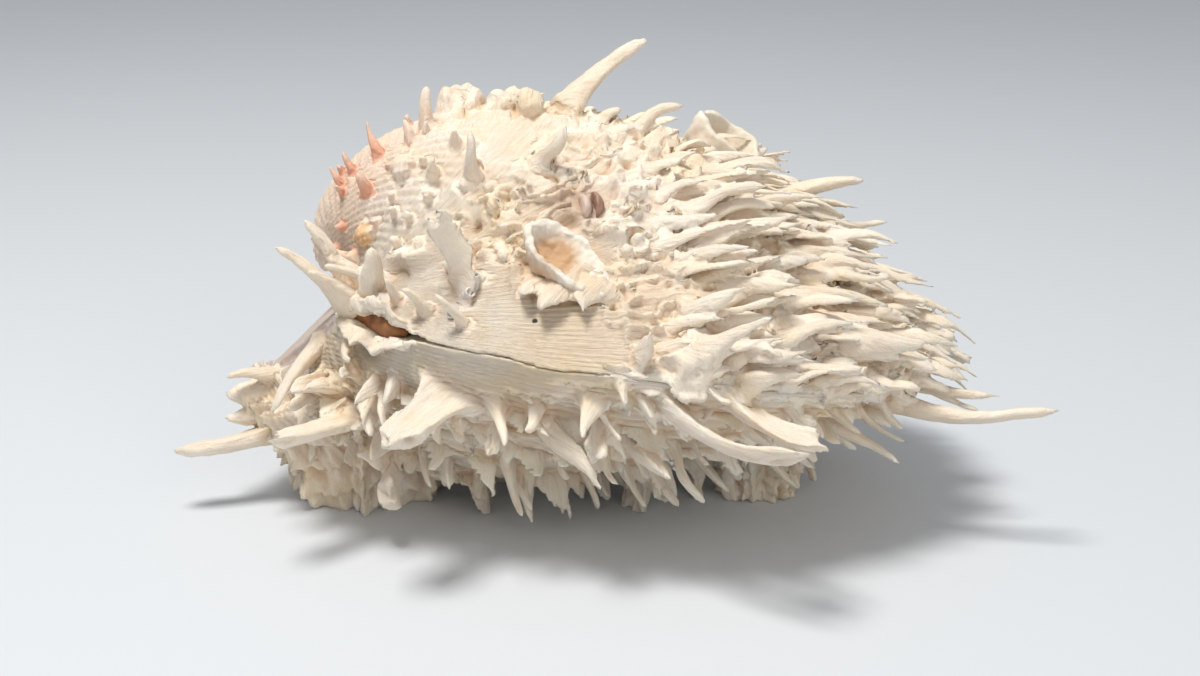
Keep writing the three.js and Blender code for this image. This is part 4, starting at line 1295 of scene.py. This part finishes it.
def cup_rows(centre, length_axis, width_axis, out, half, floor_rise, rim_rise, wall):
    """Rings of a dish: down its outside from the middle of its base, over the rim, and in again."""
    around = np.linspace(0, 2 * math.pi, CUP_COLUMNS, endpoint=False)
    height = rim_rise(around)
    wavy = 1 + 0.05 * np.sin(3 * around + 1) + 0.03 * np.sin(7 * around)
    rows = []
    for reach, share, inside in CUP_PROFILE:
        radius = reach * wavy
        level = share * height + (floor_rise if inside else -CUP_BASE_DEPTH) * (1 - share)
        x = (half[0] * radius - wall * inside * reach) * np.cos(around)
        y = (half[1] * radius - wall * inside * reach) * np.sin(around)
        ring = centre + np.outer(x, length_axis) + np.outer(y, width_axis)
        rows.append(ring + np.outer(level, out))
    return rows


def flank_seat(row):
    """A place on the front flank with the ways to the right, down the flank and out of it."""
    place, ahead, across, out = seat(UPPER, *row)
    return place, unit(ahead + across), unit(ahead - across), out


def middle_cup():
    """An oval dish: its near side stands high with a thick pitted rim, its low end is a spoon."""
    place, right, down, out = flank_seat(MIDDLE_CUP_SEAT)
    length_axis = unit(0.76 * right + 0.65 * down)
    width_axis = unit(0.76 * down - 0.65 * right)
    opening = unit(out + 0.25 * right - 0.2 * down)

    def rim_rise(around):
        side = np.maximum(0, np.cos(0.62 * (np.mod(around, 2 * math.pi) - math.radians(135))))
        return 1.3 + 4.4 * side**1.5

    centre = place - 2.1 * right + 0.6 * down
    rows = cup_rows(centre, length_axis, width_axis, opening, (8.5, 5.1), 1.3, rim_rise, 1.0)
    piece = grown_piece("middle_cup", rows, 2)
    roughen(piece, ((0.8, 0.24), (2.6, 0.3)))
    return piece


def far_cup():
    """A deeper cup, lying tilted so that it opens up and forwards."""
    place, ahead, across, out = seat(UPPER, *FAR_CUP_SEAT)
    opening = unit(out - across * 0.5 + ahead * 0.12)
    length_axis = unit(np.cross(opening, across))
    width_axis = np.cross(opening, length_axis)

    def rim_rise(around):
        return 6.4 + 0.35 * np.sin(2 * around + 1) + 0.25 * np.sin(5 * around)

    rows = cup_rows(place, length_axis, width_axis, opening, (6.8, 5.6), 1.0, rim_rise, 1.0)
    piece = grown_piece("far_cup", rows, 2)
    roughen(piece, ((1.0, 0.15), (3.0, 0.4)))
    return piece


HALF_SLIT = 0.14


def nestler_plate(name, side):
    """One of two little bent plates, standing edge up on each side of a dark slit."""
    place, right, down, out = flank_seat(NESTLER_SEAT)
    angles = np.linspace(0.06, math.pi - 0.06, 13)
    around = np.linspace(0, 2 * math.pi, 24, endpoint=False)
    thick, tall, wide = (1.0, 2.5, 2.3) if side < 0 else (0.85, 2.8, 2.5)
    rows = []
    for angle in angles:
        rise = tall * np.sin(angle) * np.sin(around)
        run = -wide * math.cos(angle) + 0 * around
        flat = thick * math.sin(angle) * np.cos(around)
        bend = 0.16 * run**2 + 0.05 * rise**2
        gap = side * (thick + HALF_SLIT)
        aside = gap + flat - bend * 0.9
        rows.append(place + np.outer(rise + 0.3, out) + np.outer(run, down) + np.outer(aside, right))
    piece = grown_piece(name, rows, 1)
    roughen(piece, ((1.2, 0.15),))
    return piece


def worm_tube_rings(start, heading, bend, radius, length, sides=18, steps=12):
    """A bent tube with a bore: down its outside from the closed end, over the mouth, and in."""
    rows = []
    around = np.linspace(0, 2 * math.pi, sides, endpoint=False)
    side = unit(np.cross(heading, bend))
    wall = [(i / steps, 1.0) for i in range(steps + 1)]
    bore = [(1.02, 0.8), (0.97, 0.62), (0.7, 0.58), (0.4, 0.5)]
    for t, share in wall + bore:
        centre = start + heading * length * t + bend * (length * 0.35 * t * t)
        tangent = unit(heading + bend * 0.7 * t)
        up = np.cross(side, tangent)
        ring = radius * share * (0.7 + 0.3 * min(1, t * 3)) * (1 + 0.07 * math.sin(22 * t))
        rows.append(centre + np.outer(ring * np.cos(around), side) + np.outer(ring * np.sin(around), up))
    return rows


# Each tube: its start to the right and down the flank, its heading and its bend (out, right,
# down), radius and length.
WORM_TUBES = [
    (0.2, -0.4, (0.75, 0.5, -0.4), (0.4, -0.2, -0.5), 1.1, 2.8),
    (-1.4, 0.9, (0.5, 0.7, -0.1), (0.6, 0.4, 0.2), 0.9, 2.6),
    (-2.2, 2.3, (0.4, 0.2, 0.6), (0.3, -0.6, 0.4), 0.8, 2.4),
]


def worm_tubes():
    """Three short chalky tubes, twisted together."""
    place, right, down, out = flank_seat(WORM_SEAT)

    def turned(parts):
        return unit(parts[0] * out + parts[1] * right + parts[2] * down)

    tubes = []
    for index, (x, y, heading, bend, radius, length) in enumerate(WORM_TUBES):
        start = place - 0.5 * out + x * right + y * down
        rows = worm_tube_rings(start, turned(heading), turned(bend), radius, length)
        tubes.append(grown_piece("worm_tube_%d" % index, rows, 1))
    deselect_all()
    for tube in tubes:
        tube.select_set(True)
    bpy.context.view_layer.objects.active = tubes[0]
    bpy.ops.object.join()
    roughen(tubes[0], ((0.8, 0.12),))
    tubes[0].name = "worm_tubes_grown"
    return tubes[0]


LIGAMENT_COURSE = ((3.5, 14), (3.5, 0), (3.6, -14), (5.6, -20.5), (9.5, -26.5), (13.5, -30.5))


def ligament():
    """The dried band inside the hinge, torn and wavy where it shows at the ear."""
    knots = np.array([(x, y, 0) for x, y in LIGAMENT_COURSE], float)
    reach = np.concatenate([[0], np.cumsum(np.linalg.norm(np.diff(knots, axis=0), axis=1))])

    def at(t):
        return np.array([np.interp(t * reach[-1], reach, knots[:, axis]) for axis in range(3)])

    rows = []
    around = np.linspace(0, 2 * math.pi, 28, endpoint=False)
    for t in np.linspace(0, 1, 60):
        tangent = unit(at(min(t + 0.02, 1)) - at(max(t - 0.02, 0)))
        side = np.cross(tangent, [0, 0, 1])
        closing = math.sqrt(max(0.05, min(1, (1 - t) * 14) * min(1, t * 20)))
        wave = 1 + 0.18 * math.sin(29 * t) + 0.12 * math.sin(53 * t + 1)
        ring = at(t) + np.outer(2.0 * closing * wave * np.cos(around), side)
        rows.append(ring + np.outer(1.95 * closing * np.sin(around), np.array([0, 0, 1.0])))
    piece = grown_piece("ligament_band", rows, 1)
    roughen(piece, ((1.3, 0.25), (4.0, 0.35)))
    return piece


def plain_material(name, colours, grain_scale, roughness, depth, spots):
    """A mottled colour between two, with a fine grain; spots are place, inner, outer, colour."""
    shader = Shader(name)
    place = shader.node("ShaderNodeTexCoord", {}, output="Object")
    mottle = shader.noise(place, grain_scale, 4, 0.6)
    fine = shader.noise(place, grain_scale * 5, 4, 0.6)
    colour = shader.mix(shader.ramp(mottle, 0.36, 0.64), *colours)
    for spot, inner, outer, tint in spots:
        colour = shader.mix(shader.near(place, spot, inner, outer), colour, tint)
    grain = mottle * 0.6 + fine * 0.4
    return shader.finish(colour, roughness + 0.15 * fine, grain, depth, Specular_IOR_Level=0.3)


def from_seat(row, o, a, c):
    place, ahead, across, out = seat(UPPER, *row)
    return rest((place + o * out + a * ahead + c * across)[None])[0]


PEACH = (0.58, 0.37, 0.21)
TAN = (0.66, 0.48, 0.28)
BLACK = (0.01, 0.01, 0.01)
MIDDLE_CUP_SPOTS = (
    # painted shade: peach inside the middle cup, by its high wall
    (from_seat(MIDDLE_CUP_SEAT, 1.4, -2.8, -2.6), 3.0, 5.4, PEACH),
    (from_seat(MIDDLE_CUP_SEAT, 1.4, -6.2, 0), 0.5, 0.8, BLACK),
)
# painted shade: tan on the floor inside the far cup
FAR_CUP_SPOTS = ((from_seat(FAR_CUP_SEAT, 2.0, 0, 0), 1.5, 4.6, TAN),)
# Each small piece: its maker and what the maker is given, the solid that it replaces, its slot,
# then its material's name, two colours, grain, roughness, depth of the grain, and spots.
SMALL_PIECES = [
    (middle_cup, (), "spat_cup_middle", "spat",
     "spat_middle", ((0.78, 0.7, 0.57), (0.86, 0.81, 0.73)), 300, 0.6, 0.0003, MIDDLE_CUP_SPOTS),
    (far_cup, (), "spat_cup_far", "spat",
     "spat_far", ((0.78, 0.7, 0.57), (0.86, 0.8, 0.7)), 200, 0.6, 0.0003, FAR_CUP_SPOTS),
    (nestler_plate, ("nestler_plate_left", -1), "nestler_left", "nestler",
     "nestler_pale", ((0.62, 0.45, 0.37), (0.72, 0.58, 0.5)), 400, 0.5, 0.0002, ()),
    (nestler_plate, ("nestler_plate_right", 1), "nestler_right", "nestler",
     "nestler_brown", ((0.3, 0.17, 0.12), (0.5, 0.33, 0.25)), 400, 0.5, 0.0002, ()),
    (worm_tubes, (), "worm_tubes", "worm_tube",
     "worm_chalk", ((0.6, 0.55, 0.53), (0.82, 0.77, 0.71)), 500, 0.7, 0.0003, ()),
    (ligament, (), "hinge_ligament", "ligament",
     "ligament_brown", ((0.24, 0.09, 0.03), (0.42, 0.18, 0.07)), 260, 0.5, 0.0003, ()),
]


def place_piece(piece, material, node):
    piece.data.materials.append(material)
    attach(piece, "root")
    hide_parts(node)


camera_and_floor()
lights()
place_piece(lower_valve(), valve_material("lower_shell", LOWER), "lower_valve")
place_piece(upper_valve(), valve_material("upper_shell", UPPER), "upper_valve")
for maker, given, node, slot, *coat in SMALL_PIECES:
    place_piece(maker(*given), plain_material(*coat), node)
